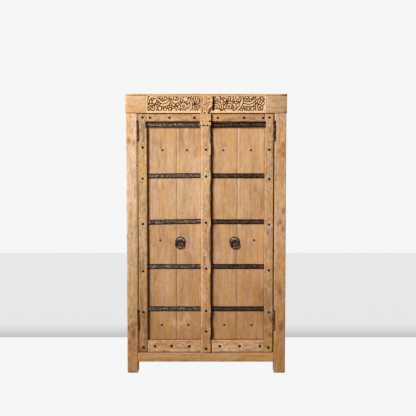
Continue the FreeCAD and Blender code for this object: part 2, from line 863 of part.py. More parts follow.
def plank_nail_places(side):
    """Where each smaller nail goes through the planks into a ledger."""
    places = []
    for height_share, row in zip(LEDGER_HEIGHT_SHARES, PLANK_NAIL_SHARES[side]):
        for share in row:
            places.append((share_of(LEAF_X[side], share), plank_front, share_of(leaf_span, height_share)))
    return places


def repeated(name, pattern, places):
    """The same piece at several places, as links to one pattern piece."""
    links = []
    for index, spot in enumerate(places):
        link = doc.addObject("App::Link", f"{name}_{index}")
        link.LinkedObject = pattern
        place(link, *spot)
        links.append(link)
    return gathered(f"{name}_group", links)


def nails(label, places, pattern, hole):
    """One node of nails, and the tool that cuts their square holes."""
    sub_part(repeated(label, pattern, places), label)
    return repeated(f"{label}_hole", hole, places)


def top_strap_z():
    """The middle of the strap that lies close under the top rail."""
    return leaf_span[1] - size.leaf_top_rail_height - size.top_strap_gap - size.strap_height / 2


def strap_notch(side):
    """The notch in a stile that takes the end of the top strap."""
    edge = PANEL_X[side][0] if side == "left" else PANEL_X[side][1]
    x = (edge - size.strap_notch, edge + size.overrun)
    if side == "right":
        x = (edge - size.overrun, edge + size.strap_notch)
    z = centred(top_strap_z(), size.strap_height + size.top_strap_gap * 2)
    return board(f"{side}_strap_notch", x, (front - size.overrun, plank_front), z)


def leaf_frame(side, holes):
    """The hinge stile and the top and bottom rails, laid on the planks."""
    y = (front, plank_front)
    top_z = (leaf_span[1] - size.leaf_top_rail_height, leaf_span[1])
    bottom_z = (leaf_span[0], leaf_span[0] + size.leaf_bottom_rail_height)
    members = {
        f"{side}_hinge_stile": (STILE_X[side], y, leaf_span, size.frame_arris_width, "z"),
        f"{side}_top_rail": (HEAD_X[side], y, top_z, size.frame_arris_width, "x"),
        f"{side}_bottom_rail": (PANEL_X[side], y, bottom_z, size.frame_arris_width, "x"),
    }
    for label, form in members.items():
        tools = [holes, strap_notch(side)] if label.endswith("stile") else [holes]
        sub_part(cut(f"{label}_cut", arrised(f"{label}_blank", *form), tools), label)


def leaf_planks(side, holes):
    """Two upright planks, parted by a dark seam."""
    seam = centred(share_of(LEAF_X[side], PLANK_SEAM_SHARES[side]), size.plank_gap)
    spans = {"left": (LEAF_X[side][0], seam[0]), "right": (seam[1], LEAF_X[side][1])}
    for half, x in spans.items():
        place_name = "outer" if half == side else "inner"
        label = f"{side}_{place_name}_plank"
        blank = board(f"{label}_blank", x, (plank_front, plank_back), leaf_span)
        sub_part(cut(f"{label}_cut", blank, holes), label)


def leaf_ledgers(side, holes):
    """Three cross pieces nailed behind the planks."""
    insets = (size.ledger_hinge_inset, size.ledger_meeting_inset)
    low_inset, high_inset = insets if side == "left" else insets[::-1]
    x = (LEAF_X[side][0] + low_inset, LEAF_X[side][1] - high_inset)
    y = (plank_back, plank_back + size.ledger_thickness)
    ledgers = []
    for index, share in enumerate(LEDGER_HEIGHT_SHARES):
        z = centred(share_of(leaf_span, share), size.ledger_height)
        ledgers.append(cut(f"{side}_ledger_{index}_cut", board(f"{side}_ledger_{index}", x, y, z), [holes]))
    sub_part(gathered(f"{side}_ledger_group", ledgers), f"{side}_ledgers")


def strap(name, x, z, tilt):
    """An iron band with a raised rib along its middle."""
    body = doc.addObject("PartDesign::Body", name)
    edge = size.strap_height / 2
    rib = size.strap_rib_height / 2
    proud = size.strap_rib_proud
    face = -size.strap_thickness
    section = (
        (0, -edge), (face, -edge), (face, -rib), (face - proud, proud - rib),
        (face - proud, rib - proud), (face, rib), (face, edge), (0, edge),
    )
    length = x[1] - x[0]
    pad(body, outline(body, "YZ_Plane", f"{name}_section", section, -length / 2), length)
    turned(body, FreeCAD.Vector(0, 1, 0), -tilt)
    place(body, share_of(x, 1 / 2), plank_front, z)
    return body


def straps(side):
    """Four bands between stile and batten, and one close under the top rail, let into the stile."""
    places = [(PANEL_X[side], share_of(leaf_span, share)) for share in STRAP_HEIGHT_SHARES]
    head = HEAD_X[side]
    if side == "left":
        places.append(((head[0] - size.strap_notch, head[1]), top_strap_z()))
    else:
        places.append(((head[0], head[1] + size.strap_notch), top_strap_z()))
    bands = []
    for index, ((ends, z), tilt) in enumerate(zip(places, STRAP_TILTS[side])):
        x = (ends[0] + size.strap_end_gap, ends[1] - size.strap_end_gap)
        bands.append(strap(f"{side}_strap_{index}", x, z, tilt))
    sub_part(gathered(f"{side}_strap_group", bands), f"{side}_iron_straps")


def stopped_chamfer(name, corner_x, degrees, z):
    """The cut for one chamfer on a front arris: at both ends it slopes out before the next nail."""
    body = doc.addObject("PartDesign::Body", name)
    depth = size.batten_chamfer * math.cos(math.radians(RIGHT_ANGLE / 2))
    beyond = size.overrun * (size.batten_stop_length / depth)
    section = (
        (-size.overrun, z[0] - beyond), (depth, z[0] + size.batten_stop_length),
        (depth, z[1] - size.batten_stop_length), (-size.overrun, z[1] + beyond),
    )
    pad(body, outline(body, "XZ_Plane", f"{name}_section", section, -size.overrun), size.overrun * 2)
    turned(body, FreeCAD.Vector(0, 0, 1), degrees)
    place(body, corner_x, front - size.batten_proud, 0)
    return body


def batten_chamfers(top):
    """The chamfers between one nail and the next, on both arrises."""
    levels = [share_of(leaf_span, share) for share in BATTEN_NAIL_SHARES] + [top]
    corners = {"left": (batten_left, RIGHT_ANGLE / 2), "right": (batten_right, RIGHT_ANGLE * 3 / 2)}
    chamfers = []
    for index, (low, high) in enumerate(zip(levels, levels[1:])):
        z = (low + size.batten_stop_gap, high - size.batten_stop_gap)
        for side, (corner_x, degrees) in corners.items():
            chamfers.append(stopped_chamfer(f"batten_{side}_chamfer_{index}", corner_x, degrees, z))
    return chamfers


def centre_batten(holes):
    """The meeting moulding on the left leaf: stopped chamfers below a narrower neck."""
    neck_bottom = batten_top - size.neck_height
    y = (front - size.batten_proud, plank_front)
    body = arrised(
        "batten_body", (batten_left, batten_right), y, (leaf_span[0], neck_bottom), size.frame_arris_width,
        "z",
    )
    neck_x = (batten_left + size.neck_inset, batten_right - size.neck_inset)
    neck = outline(body, "XY_Plane", "batten_neck", rectangle(neck_x, y), neck_bottom)
    pad(body, neck, size.neck_height)
    sub_part(cut("batten_cut", body, [holes, *batten_chamfers(neck_bottom)]), "centre_batten")


def carved_outline(body, name, panel, corner_shares, bend_shares, depth):
    """An outline with arcs in it, in shares of a panel's width and height."""
    corners = [in_panel(panel, point_shares) for point_shares in corner_shares]
    bends = {edge: in_panel(panel, point_shares) for edge, point_shares in bend_shares.items()}
    return outline(body, "XZ_Plane", name, corners, -depth, bends)


def carved_knob():
    """The round knob on the crest, cut in flats about its own middle, its root sunk in the crest."""
    body = doc.addObject("PartDesign::Body", "capital_knob")
    proud = size.knob_proud
    rim = polygon_section((0, 0), size.knob_radius, BOSS_FLATS)
    pad(body, outline(body, "XZ_Plane", "knob_rim", rim, -proud / 2), proud * 3 / 2)
    half_proud = number_of(proud) / 2
    bevelled(body, "knob_bevel", size.knob_bevel, lambda bounds: bounds.YMax < -half_proud)
    return body


def carved_capital():
    """The block over the batten and the crest that stands in front of the lintel, in one piece."""
    body = doc.addObject("PartDesign::Body", "capital_body")
    corner = size.block_corner
    x = (block_left, block_left + size.block_width)
    z = (batten_top, block_top)
    points = (
        (x[0] + corner, z[0]), (x[1] - corner, z[0]), (x[1], z[0] + corner),
        (x[1], z[1]), (x[0], z[1]), (x[0], z[0] + corner),
    )
    block = outline(body, "XZ_Plane", "capital_block", points, -plank_front)
    apron_back = front - size.block_proud + size.apron_depth
    pad(body, block, plank_front - apron_back)
    pad(body, carved_outline(body, "capital_apron", (x, z), APRON_SHARES, APRON_BEND_SHARES, apron_back),
        size.apron_depth)
    crest = (crest_x, crest_z)
    crest_back = lintel_front - size.crest_clearance
    crest_face = front - size.crest_proud + size.knob_proud
    pad(body, carved_outline(body, "capital_crest", crest, CREST_SHARES, CREST_BEND_SHARES, crest_back),
        crest_back - crest_face)
    carved_leaves(body, "crest_leaf", crest, CREST_LEAF_SHARES, crest_face, size.crest_leaf_height)
    knob = carved_knob()
    knob_x, knob_z = in_panel(crest, KNOB_SHARES)
    place(knob, knob_x, crest_face, knob_z)
    sub_part(joined("capital_whole", [body, knob]), "carved_capital")


# Hinges

def hinge(side, level):
    """A two-knuckle barrel hinge: one plate on the post, one on the leaf's edge."""
    name = f"{side}_{level}_hinge"
    post_edge = opening_left if side == "left" else opening_right
    inward = 1 if side == "left" else -1
    axis_x = post_edge + size.leaf_side_gap / 2 * inward
    axis_y = front - size.hinge_stand_off
    middle = share_of(leaf_span, HINGE_HEIGHT_SHARES[level])
    half_gap = size.knuckle_gap / 2
    lower = (middle - half_gap - size.knuckle_length, middle - half_gap)
    upper = (middle + half_gap, middle + half_gap + size.knuckle_length)
    whole = (lower[0], upper[1])
    plate_start = axis_y + size.knuckle_radius + size.hinge_plate_clearance
    plate_end = front + size.hinge_plate_reach
    leaf_edge = post_edge + size.leaf_side_gap * inward
    forms = {
        "post": (post_edge, inward, lower, size.pin_seat),
        "leaf": (leaf_edge, -inward, upper, size.pin_running_clearance),
    }
    for holder, (edge, way, knuckle_z, clearance) in forms.items():
        plate_x = sorted((edge, edge + size.hinge_plate_thickness * way), key=number_of)
        part_name = f"{name}_{holder}"
        fused = joined(f"{part_name}_whole", [
            cylinder(f"{part_name}_knuckle", size.knuckle_radius, axis_x, axis_y, knuckle_z),
            board(f"{part_name}_neck", plate_x, (axis_y, plate_start), knuckle_z),
            board(f"{part_name}_plate", plate_x, (plate_start, plate_end), whole),
        ])
        bore_z = (knuckle_z[0] - size.overrun, knuckle_z[1] + size.overrun)
        bore = cylinder(f"{part_name}_bore", size.hinge_pin_radius + clearance, axis_x, axis_y, bore_z)
        sub_part(cut(f"{part_name}_cut", fused, [bore]), f"{name}_{holder}_side")
    pin_z = (whole[0] + size.pin_end_inset, whole[1] - size.pin_end_inset)
    return cylinder(f"{name}_pin", size.hinge_pin_radius, axis_x, axis_y, pin_z)


def hinges():
    pins = [hinge(side, level) for side in SIDES for level in HINGE_HEIGHT_SHARES]
    sub_part(gathered("hinge_pin_group", pins), "hinge_pins")


# Ring pulls, modelled about the middle of the plate with -Y towards the viewer

def pull_place(side):
    across, up = PULL_SHARES[side]
    return share_of(LEAF_X[side], across), share_of(leaf_span, up)


def staple_hole(name):
    """The square hole for a staple's shank, through the plate and into the plank."""
    width = size.staple_shank + size.nail_clearance * 2
    depth = size.plank_thickness - size.nail_end_wood + size.nail_clearance
    return board(name, centred(0, width), (-size.overrun, depth), centred(size.eye_rise, width))


def pull_plate(side):
    """The round plate, hammered in short flats: a bevelled rim round a dish with a low boss."""
    name = f"{side}_pull_plate"
    body = doc.addObject("PartDesign::Body", f"{name}_body")
    middle = (0, 0)
    rim = polygon_section(middle, size.pull_plate_radius, PLATE_FLATS)
    dish = polygon_section(middle, size.pull_plate_radius - size.pull_rim_width, PLATE_FLATS)
    boss = polygon_section(middle, size.pull_boss_radius, BOSS_FLATS)
    rim_proud, dish_proud, boss_proud = size.pull_rim_proud, size.pull_dish_proud, size.pull_boss_proud
    pad(body, outline(body, "XZ_Plane", f"{name}_rim", rim), rim_proud)
    pocket(body, outline(body, "XZ_Plane", f"{name}_dish", dish, rim_proud), rim_proud - dish_proud)
    limit = number_of(boss_proud)
    bevelled(body, f"{name}_rim_bevel", size.pull_rim_bevel, lambda bounds: bounds.YMax < -limit)
    pad(body, outline(body, "XZ_Plane", f"{name}_boss", boss, dish_proud), boss_proud - dish_proud)
    low, high = number_of(dish_proud + boss_proud) / 2, number_of(boss_proud + rim_proud) / 2
    bevelled(
        body, f"{name}_boss_bevel", size.pull_boss_bevel,
        lambda bounds: -high < bounds.YMin and bounds.YMax < -low,
    )
    return body


def ring_staple(side):
    """The eye that holds the ring, with a shank driven through the planks."""
    name = f"{side}_ring_staple"
    body = doc.addObject("PartDesign::Body", f"{name}_body")
    inner = size.ring_bar_radius + size.ring_eye_clearance
    section = rectangle(centred(0, size.eye_bar), (inner, inner + size.eye_bar))
    revolution(body, outline(body, "XY_Plane", f"{name}_section", section), "X_Axis")
    place(body, 0, -size.eye_stand_off, size.eye_rise)
    start = inner + size.eye_bar / 2 - size.eye_stand_off
    shank = board(
        f"{name}_shank", centred(0, size.staple_shank),
        (start, size.plank_thickness - size.nail_end_wood), centred(size.eye_rise, size.staple_shank),
    )
    return joined(f"{name}_whole", [body, shank])


def pull_ring(side):
    """The ring, forged in short flats with its corners taken off, hanging from the eye."""
    name = f"{side}_pull_ring"
    body = doc.addObject("PartDesign::Body", f"{name}_body")
    bar = size.ring_bar_radius
    to_corner = 1 / math.cos(math.pi / RING_FLATS)
    outer = polygon_section((0, 0), (size.ring_radius + bar) * to_corner, RING_FLATS)
    inner = polygon_section((0, 0), (size.ring_radius - bar) * to_corner, RING_FLATS)
    pad(body, outline(body, "XZ_Plane", f"{name}_outer", outer, -bar), bar * 2)
    pocket(body, outline(body, "XZ_Plane", f"{name}_inner", inner, bar), bar * 2 + size.overrun)
    half_bar = number_of(bar) / 2
    bevelled(
        body, f"{name}_bevel", size.ring_bar_bevel,
        lambda bounds: bounds.YMax < -half_bar or bounds.YMin > half_bar,
    )
    turn = math.radians(PULL_TURNS[side])
    x, z = pull_place(side)
    drop = size.ring_radius - size.eye_rise
    turned(body, FreeCAD.Vector(0, 1, 0), PULL_TURNS[side])
    place(body, x - drop * math.sin(turn), plank_front - size.eye_stand_off, z - drop * math.cos(turn))
    sub_part(body, name)


def set_pull_place(item, side):
    x, z = pull_place(side)
    turned(item, FreeCAD.Vector(0, 1, 0), PULL_TURNS[side])
    place(item, x, plank_front, z)


def pull(side):
    plate = cut(f"{side}_pull_plate_cut", pull_plate(side), [staple_hole(f"{side}_plate_hole")])
    set_pull_place(plate, side)
    sub_part(plate, f"{side}_pull_plate")
    staple = ring_staple(side)
    set_pull_place(staple, side)
    sub_part(staple, f"{side}_ring_staple")
    pull_ring(side)


def leaf(side, stud, plank_nail):
    """One leaf with all that is fixed to it."""
    stud_holes = nails(f"{side}_frame_nails", stud_places(side), *stud)
    plank_nail_holes = nails(f"{side}_plank_nails", plank_nail_places(side), *plank_nail)
    leaf_frame(side, stud_holes)
    hole = gathered(f"{side}_staple_hole", [staple_hole(f"{side}_plank_hole")])
    set_pull_place(hole, side)
    leaf_planks(side, [stud_holes, plank_nail_holes, hole])
    leaf_ledgers(side, plank_nail_holes)
    straps(side)
    if side == "left":
        centre_batten(stud_holes)
        carved_capital()
    pull(side)


def check_and_write():
    """Stop at anything that failed; write each sub-part to a file of its name."""
    doc.recompute()
    for item in doc.Objects:
        if "Invalid" in item.State or "Error" in item.State:
            raise ValueError(f"{item.Label} failed: {item.State}")
    os.makedirs("parts", exist_ok=True)
    for item in sub_parts:
        if item.Shape.isNull() or not item.Shape.isValid():
            raise ValueError(f"{item.Label} has no valid shape")
        item.Shape.exportStep(os.path.join("parts", f"{item.Label}.step"))
        solids = len(item.Shape.Solids)
        print(f"{item.Label}: {solids} solids, {item.Shape.Volume / 1000:.1f} cm3")
    print(f"{len(sub_parts)} sub-parts")


def build():
    for side in SIDES:
        front_post(side)
        rear_post(side)
    lintel()
    carved_frieze()
    case_rails()
    case_boards()
    floor_boards()
    shelves()
    shelf_cleats()
    door_stops()
    hinges()
    stud = (nail("stud", STUD), nail_hole("stud_hole", STUD))
    plank_nail = (nail("plank_nail", PLANK_NAIL), nail_hole("plank_nail_hole", PLANK_NAIL))
    for side in SIDES:
        leaf(side, stud, plank_nail)
    check_and_write()


build()
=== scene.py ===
# %% [markdown]
# A two-door trastero cabinet in old, brushed timber.
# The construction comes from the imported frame: every board, nail and hinge has its real place there.
# This file gives each of them the surface that eighty years of use gave the real ones: rounded and
# chipped arrises, adze marks, carved foliage, hammered iron.

# %% Load the frame
import json
import math
import random

import bmesh
import bpy
from mathutils import Matrix, Vector, noise

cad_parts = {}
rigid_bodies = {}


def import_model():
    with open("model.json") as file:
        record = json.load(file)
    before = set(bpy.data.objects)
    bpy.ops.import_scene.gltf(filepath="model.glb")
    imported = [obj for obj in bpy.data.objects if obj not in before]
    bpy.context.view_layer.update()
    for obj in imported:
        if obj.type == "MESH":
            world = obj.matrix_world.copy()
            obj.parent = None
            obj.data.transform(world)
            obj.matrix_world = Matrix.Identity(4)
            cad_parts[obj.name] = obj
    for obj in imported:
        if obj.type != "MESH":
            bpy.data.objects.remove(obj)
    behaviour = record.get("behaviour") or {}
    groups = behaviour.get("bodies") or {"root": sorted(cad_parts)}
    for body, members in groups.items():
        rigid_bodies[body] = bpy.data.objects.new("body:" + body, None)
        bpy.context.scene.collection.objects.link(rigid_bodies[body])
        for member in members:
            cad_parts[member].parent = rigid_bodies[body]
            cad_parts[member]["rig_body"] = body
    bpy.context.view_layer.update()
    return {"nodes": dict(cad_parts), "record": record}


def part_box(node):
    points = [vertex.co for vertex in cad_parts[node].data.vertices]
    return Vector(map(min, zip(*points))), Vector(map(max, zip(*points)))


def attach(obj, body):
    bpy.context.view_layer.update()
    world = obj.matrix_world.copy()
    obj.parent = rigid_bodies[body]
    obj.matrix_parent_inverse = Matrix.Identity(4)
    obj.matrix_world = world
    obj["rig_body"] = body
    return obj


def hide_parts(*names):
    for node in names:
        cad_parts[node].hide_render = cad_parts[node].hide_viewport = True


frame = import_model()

MM = 0.001
nodes = frame["nodes"]

# %% [markdown]
# The camera stands straight in front, a little above the middle of the doors, and looks down by
# three degrees. Its distance and lens come from how much wider the near top of the cabinet looks
# than its feet.

# %% Camera
PHOTO_SIDE_PX = 416
FOCAL_PX = 677
SENSOR_MM = 36
CAMERA_DISTANCE = 4.41
CAMERA_HEIGHT = 1.32
CAMERA_ASIDE = 0.0117
LOOKING_DOWN_DEG = 2.97

front_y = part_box("left_hinge_stile")[0].y
camera_data = bpy.data.cameras.new("camera")
camera_data.sensor_width = SENSOR_MM
camera_data.lens = FOCAL_PX / PHOTO_SIDE_PX * SENSOR_MM
camera = bpy.data.objects.new("camera", camera_data)
camera.location = (CAMERA_ASIDE, front_y - CAMERA_DISTANCE, CAMERA_HEIGHT)
camera.rotation_euler = (math.radians(90 - LOOKING_DOWN_DEG), 0, 0)
bpy.context.scene.collection.objects.link(camera)
bpy.context.scene.camera = camera
print("lens", round(camera_data.lens, 1), "mm")

# %% [markdown]
# Colours are written as the hex values that a paint chart would give. Blender's sockets want linear
# light, so one function turns them. A second one adds a shader node, sets it and links it. A node
# shows only the sockets of the kind that it is set to, so inputs are given in the order in which the
# editor would show them.

# %% Colour and node helpers
def linear(code):
    """An sRGB hex colour as linear light."""
    channels = [int(code[place:place + 2], 16) / 255 for place in (1, 3, 5)]
    light = [c / 12.92 if c <= 0.04045 else ((c + 0.055) / 1.055) ** 2.4 for c in channels]
    return (*light, 1)


def add(tree, kind, *values, inputs=None, stops=(), out=None, **settings):
    """Add one shader node and return its first output, or the one named by out.

    values are for the inputs that it shows, in order, and inputs names further ones. Each is a
    number, a colour or another node's output. stops are a ramp's.
    """
    node = tree.nodes.new("ShaderNode" + kind)
    for name, value in settings.items():
        setattr(node, name, value)
    shown = [socket for socket in node.inputs if socket.enabled]
    named = [(node.inputs[name], value) for name, value in (inputs or {}).items()]
    for socket, value in [*zip(shown, values), *named]:
        if isinstance(value, bpy.types.NodeSocket):
            tree.links.new(value, socket)
        else:
            socket.default_value = value
    for index, (position, code) in enumerate(stops):
        ramp = node.color_ramp.elements
        stop = ramp[index] if index < 2 else ramp.new(position)
        stop.position = position
        stop.color = linear(code)
    return node.outputs[out] if out else next(socket for socket in node.outputs if socket.enabled)


def new_material(name):
    """An empty principled material: its tree and its shader."""
    material = bpy.data.materials.new(name)
    material.use_nodes = True
    return material, material.node_tree, material.node_tree.nodes["Principled BSDF"]


# %% [markdown]
# A photographer's sweep: a pale floor that meets a pale wall 0.76 m behind the cabinet, so that the
# soft shadow of the case falls on the wall to the right. To the camera a part of the sweep's
# brightness is its own, which keeps it near white without more light on the timber. Close to the
# feet that own brightness is dimmed by ambient occlusion: a painted shadow around and under the case.

# %% The sweep's paint
GLOW_SHARE = 0.80
PAINTED_CONTACT_SHADOW_REACH = 0.3
PAINTED_CONTACT_SHADOW_SHARE = 0.3


def seen_itself(tree):
    """1 where the camera sees a thing itself, in metal or through glass, 0 for the light it throws."""
    rays = add(tree, "LightPath").node.outputs
    either = add(tree, "Math", rays["Is Camera Ray"], rays["Is Glossy Ray"], operation="MAXIMUM")
    return add(tree, "Math", either, rays["Is Transmission Ray"], operation="MAXIMUM")


sweep_material, tree, shader = new_material("painted_studio_sweep")
matt = add(tree, "BsdfDiffuse", linear("#f2f6ff"))
dull = add(tree, "BsdfDiffuse", linear("#817667"))
# painted shadow: the sweep's own glow is dimmed where the cabinet stands near
open_to_light = add(tree, "AmbientOcclusion", inputs={"Distance": PAINTED_CONTACT_SHADOW_REACH}, out="AO")
level = add(tree, "MapRange", open_to_light, 0.0, 1.0, 1 - PAINTED_CONTACT_SHADOW_SHARE, 1.0)
glow = add(tree, "Emission", linear("#fdfdfd"), level)
pale = add(tree, "MixShader", GLOW_SHARE, matt, glow)
lit = add(tree, "MixShader", seen_itself(tree), dull, pale)
behind = add(tree, "NewGeometry", out="Backfacing")
one_sided = add(tree, "MixShader", behind, lit, add(tree, "BsdfTransparent"))
tree.links.new(one_sided, tree.nodes["Material Output"].inputs["Surface"])
tree.nodes.remove(shader)
print(len(tree.nodes), "nodes in the sweep's paint")

# %% [markdown]
# The sheet's line is a floor edge, a quarter turn and a wall, extruded sideways. It has a front only:
# from behind it is clear, so that the cabinet's back can be looked at, with more floor on that side.

# %% Floor and wall
WALL_BEHIND = 0.76
SWEEP_WIDTH = 9.0
SWEEP_FRONT = -6.5
SWEEP_HEIGHT = 4.5
SWEEP_BEND = 0.25
SWEEP_BEND_STEPS = 8

wall_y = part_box("rear_post_left")[1].y + WALL_BEHIND
left_x, bend_y = -SWEEP_WIDTH / 2, wall_y - SWEEP_BEND
sheet = bmesh.new()
edge = [sheet.verts.new((left_x, y, 0)) for y in (SWEEP_FRONT, bend_y)]
sheet.edges.new(edge)
bend = bmesh.ops.spin(sheet, geom=[edge[1]], cent=(0, bend_y, SWEEP_BEND), axis=(1, 0, 0),
                      angle=math.radians(90), steps=SWEEP_BEND_STEPS)
bend_end = [item for item in bend["geom_last"] if isinstance(item, bmesh.types.BMVert)]
top = bmesh.ops.extrude_vert_indiv(sheet, verts=bend_end)["verts"][0]
top.co.z = SWEEP_HEIGHT
wide = bmesh.ops.extrude_edge_only(sheet, edges=sheet.edges[:])
moved = [item for item in wide["geom"] if isinstance(item, bmesh.types.BMVert)]
bmesh.ops.translate(sheet, verts=moved, vec=(SWEEP_WIDTH, 0, 0))
bmesh.ops.recalc_face_normals(sheet, faces=sheet.faces)
if sheet.faces[:][0].normal.z < 0:
    bmesh.ops.reverse_faces(sheet, faces=sheet.faces)
corners = [(left_x, bend_y), (-left_x, bend_y), (-left_x, -SWEEP_FRONT), (left_x, -SWEEP_FRONT)]
sheet.faces.new([sheet.verts.new((*corner, 0)) for corner in corners])
sweep_mesh = bpy.data.meshes.new("studio_sweep")
sheet.to_mesh(sweep_mesh)
sheet.free()
sweep_mesh.shade_smooth()
sweep_mesh.materials.append(sweep_material)
sweep = bpy.data.objects.new("studio_sweep", sweep_mesh)
bpy.context.scene.collection.objects.link(sweep)
print("wall at", round(wall_y, 3))

# %% [markdown]
# One large soft lamp stands to the left and a little above, as the shadows beside the stiles and the
# batten show: they are as wide as the timber stands proud. An even world fills them, a little warm,
# as a room's light is once wood has reflected it. Seen directly or in the iron, that world is as
# pale as the sweep.

# %% Light
KEY_AZIMUTH_DEG = 41
KEY_ELEVATION_DEG = 26
KEY_DISTANCE = 6.6
KEY_WIDTH = 2.3
KEY_HEIGHT = 3.4
KEY_POWER = 70
KEY_SPREAD_DEG = 56
KEY_STANDS_OVER = 0.95
KEY_LOOKS_AT = 1.62
WORLD_STRENGTH = 0.14
WORLD_SEEN = 0.92
WORLD_FILL = "#ffe7ce"

key_data = bpy.data.lights.new("key_lamp", "AREA")
key_data.shape = "RECTANGLE"
key_data.size = KEY_WIDTH
key_data.size_y = KEY_HEIGHT
key_data.energy = KEY_POWER
key_data.color = linear("#fffaf4")[:3]
key_data.spread = math.radians(KEY_SPREAD_DEG)
key = bpy.data.objects.new("key_lamp", key_data)
azimuth, elevation = math.radians(KEY_AZIMUTH_DEG), math.radians(KEY_ELEVATION_DEG)
flat = math.cos(elevation)
towards = Vector((-math.sin(azimuth) * flat, -math.cos(azimuth) * flat, math.sin(elevation)))
key.location = Vector((0, front_y, KEY_STANDS_OVER)) + towards * KEY_DISTANCE
looks_at = Vector((0, front_y, KEY_LOOKS_AT))
key.rotation_euler = (key.location - looks_at).to_track_quat("Z", "Y").to_euler()
bpy.context.scene.collection.objects.link(key)

world = bpy.data.worlds.new("even_studio_fill")
world.use_nodes = True
tree = world.node_tree
seen = seen_itself(tree)
background = tree.nodes["Background"].inputs
fill = add(tree, "Mix", seen, linear(WORLD_FILL), linear("#ffffff"), data_type="RGBA")
strength = add(tree, "MapRange", seen, 0.0, 1.0, WORLD_STRENGTH, WORLD_SEEN)
tree.links.new(fill, background["Color"])
tree.links.new(strength, background["Strength"])
bpy.context.scene.world = world
bpy.context.scene.view_settings.view_transform = "Standard"
print("lamp", round(KEY_DISTANCE, 1), "m away, world", WORLD_STRENGTH)

# %% [markdown]
# Wear, wax and dirt on old timber and iron, and the shade that is painted into the timber, all lie over
# what was there before. So every such layer is the same step: a mask says where it is, and its colour
# is laid over the colour below.

# %% One layer over another
def laid(tree, colour, code, mask, low=0.0, high=1.0, most=1.0, only=None, soft=False, **settings):
    """Lay a colour over another: none where the mask is low, most of it where the mask is high.

    only is a second mask. soft rounds the way from low to high off.
    """
    way = "SMOOTHSTEP" if soft else "LINEAR"
    share = add(tree, "MapRange", mask, low, high, 0.0, most, interpolation_type=way)
    if only:
        share = add(tree, "Math", share, only, operation="MULTIPLY")
    return add(tree, "Mix", share, colour, linear(code), data_type="RGBA", **settings)


# %% [markdown]
# Three marks have places of their own on a board. A knot has dark rings that follow the timber's
# bleached spots, so its edge is ragged; the same rings paint the soft shadow that a pull's ring casts
# on its plank. A scuff is a pale patch of scratches. A dark band along an edge is partly grime that a
# cloth doesn't reach and partly painted shade, where a proud stile, batten, rail or strap shades the
# board beside it.

# %% Knots, scuffs, grime and painted shade
KNOT_AND_SHADOW_COLOUR = "#80492a"
KNOT_SHARE = 0.8
KNOT_SQUAT = 0.6
KNOT_RAGGED = 1.2
KNOT_FADE = 1.9
KNOT_RING_MM = 5
KNOT_RING_LEAST = 0.35
SCUFF_COLOUR = "#ecd3b4"
SCUFF_MM = 22
SCUFF_ROUND = -0.22
SCUFF_RANGE = (0.36, 0.50, 0.75)
DIRT_AND_SHADE_COLOUR = "#5d3c22"
DIRT_AND_SHADE_RAGGED = 0.7
DIRT_AND_SHADE_FADE = (1.35, 0.35)


def with_knots_and_shadows(tree, colour, here, ragged_by, knots_and_shadows):
    """Add knots at (x, z, radius); the same rings also paint the shadows that the pulls' rings cast."""
    flat = add(tree, "VectorMath", here, (1, 0, KNOT_SQUAT), operation="MULTIPLY")
    for x, z, radius in knots_and_shadows:
        gap = add(tree, "VectorMath", flat, (x, 0, z * KNOT_SQUAT), operation="DISTANCE")
        gap = add(tree, "Math", ragged_by, KNOT_RAGGED * radius, gap, operation="MULTIPLY_ADD")
        rings = add(tree, "Math", gap, 2 * math.pi / (KNOT_RING_MM * MM), operation="MULTIPLY")
        rings = add(tree, "Math", rings, operation="SINE")
        rings = add(tree, "MapRange", rings, -1.0, 1.0, KNOT_RING_LEAST, 1.0)
        colour = laid(tree, colour, KNOT_AND_SHADOW_COLOUR, gap, KNOT_FADE * radius, radius, KNOT_SHARE, rings)
    return colour


def scuffed(tree, colour, here, scuffs, only):
    """Add scuffs at (x, z, half width, half height)."""
    for x, z, half_width, half_height in scuffs:
        gap = add(tree, "VectorMath", here, (x, 0, z), operation="SUBTRACT")
        gap = add(tree, "VectorMath", gap, (1 / half_width, 0, 1 / half_height), operation="MULTIPLY")
        gap = add(tree, "VectorMath", gap, operation="LENGTH")
        scratch = add(tree, "TexNoise", here, inputs={
            "Scale": 1 / (SCUFF_MM * MM), "Detail": 4, "Roughness": 0.7, "Distortion": 1.0})
        reached = add(tree, "Math", gap, SCUFF_ROUND, scratch, operation="MULTIPLY_ADD")
        colour = laid(tree, colour, SCUFF_COLOUR, reached, *SCUFF_RANGE, only)
    return colour


def dirt_and_shade_bands(tree, colour, place, ragged_by, dirt_and_shade, only):
    """Add dark bands of grime and painted shade at (axis, place, reach, strength), which fade out on both
    sides.
    """
    for axis, edge, reach, strength in dirt_and_shade:
        gap = add(tree, "Math", place[axis], edge, operation="SUBTRACT")
        gap = add(tree, "Math", gap, operation="ABSOLUTE")
        gap = add(tree, "Math", ragged_by, DIRT_AND_SHADE_RAGGED * reach, gap, operation="MULTIPLY_ADD")
        none, full = (share * reach for share in DIRT_AND_SHADE_FADE)
        colour = laid(tree, colour, DIRT_AND_SHADE_COLOUR, gap, none, full, strength, only, soft=True)
    return colour


# %% [markdown]
# Grain is noise pulled out along the board: its spots become streaks. Each pattern has a real size
# in millimetres. The pores are drawn wider than real ones, so that they still show.

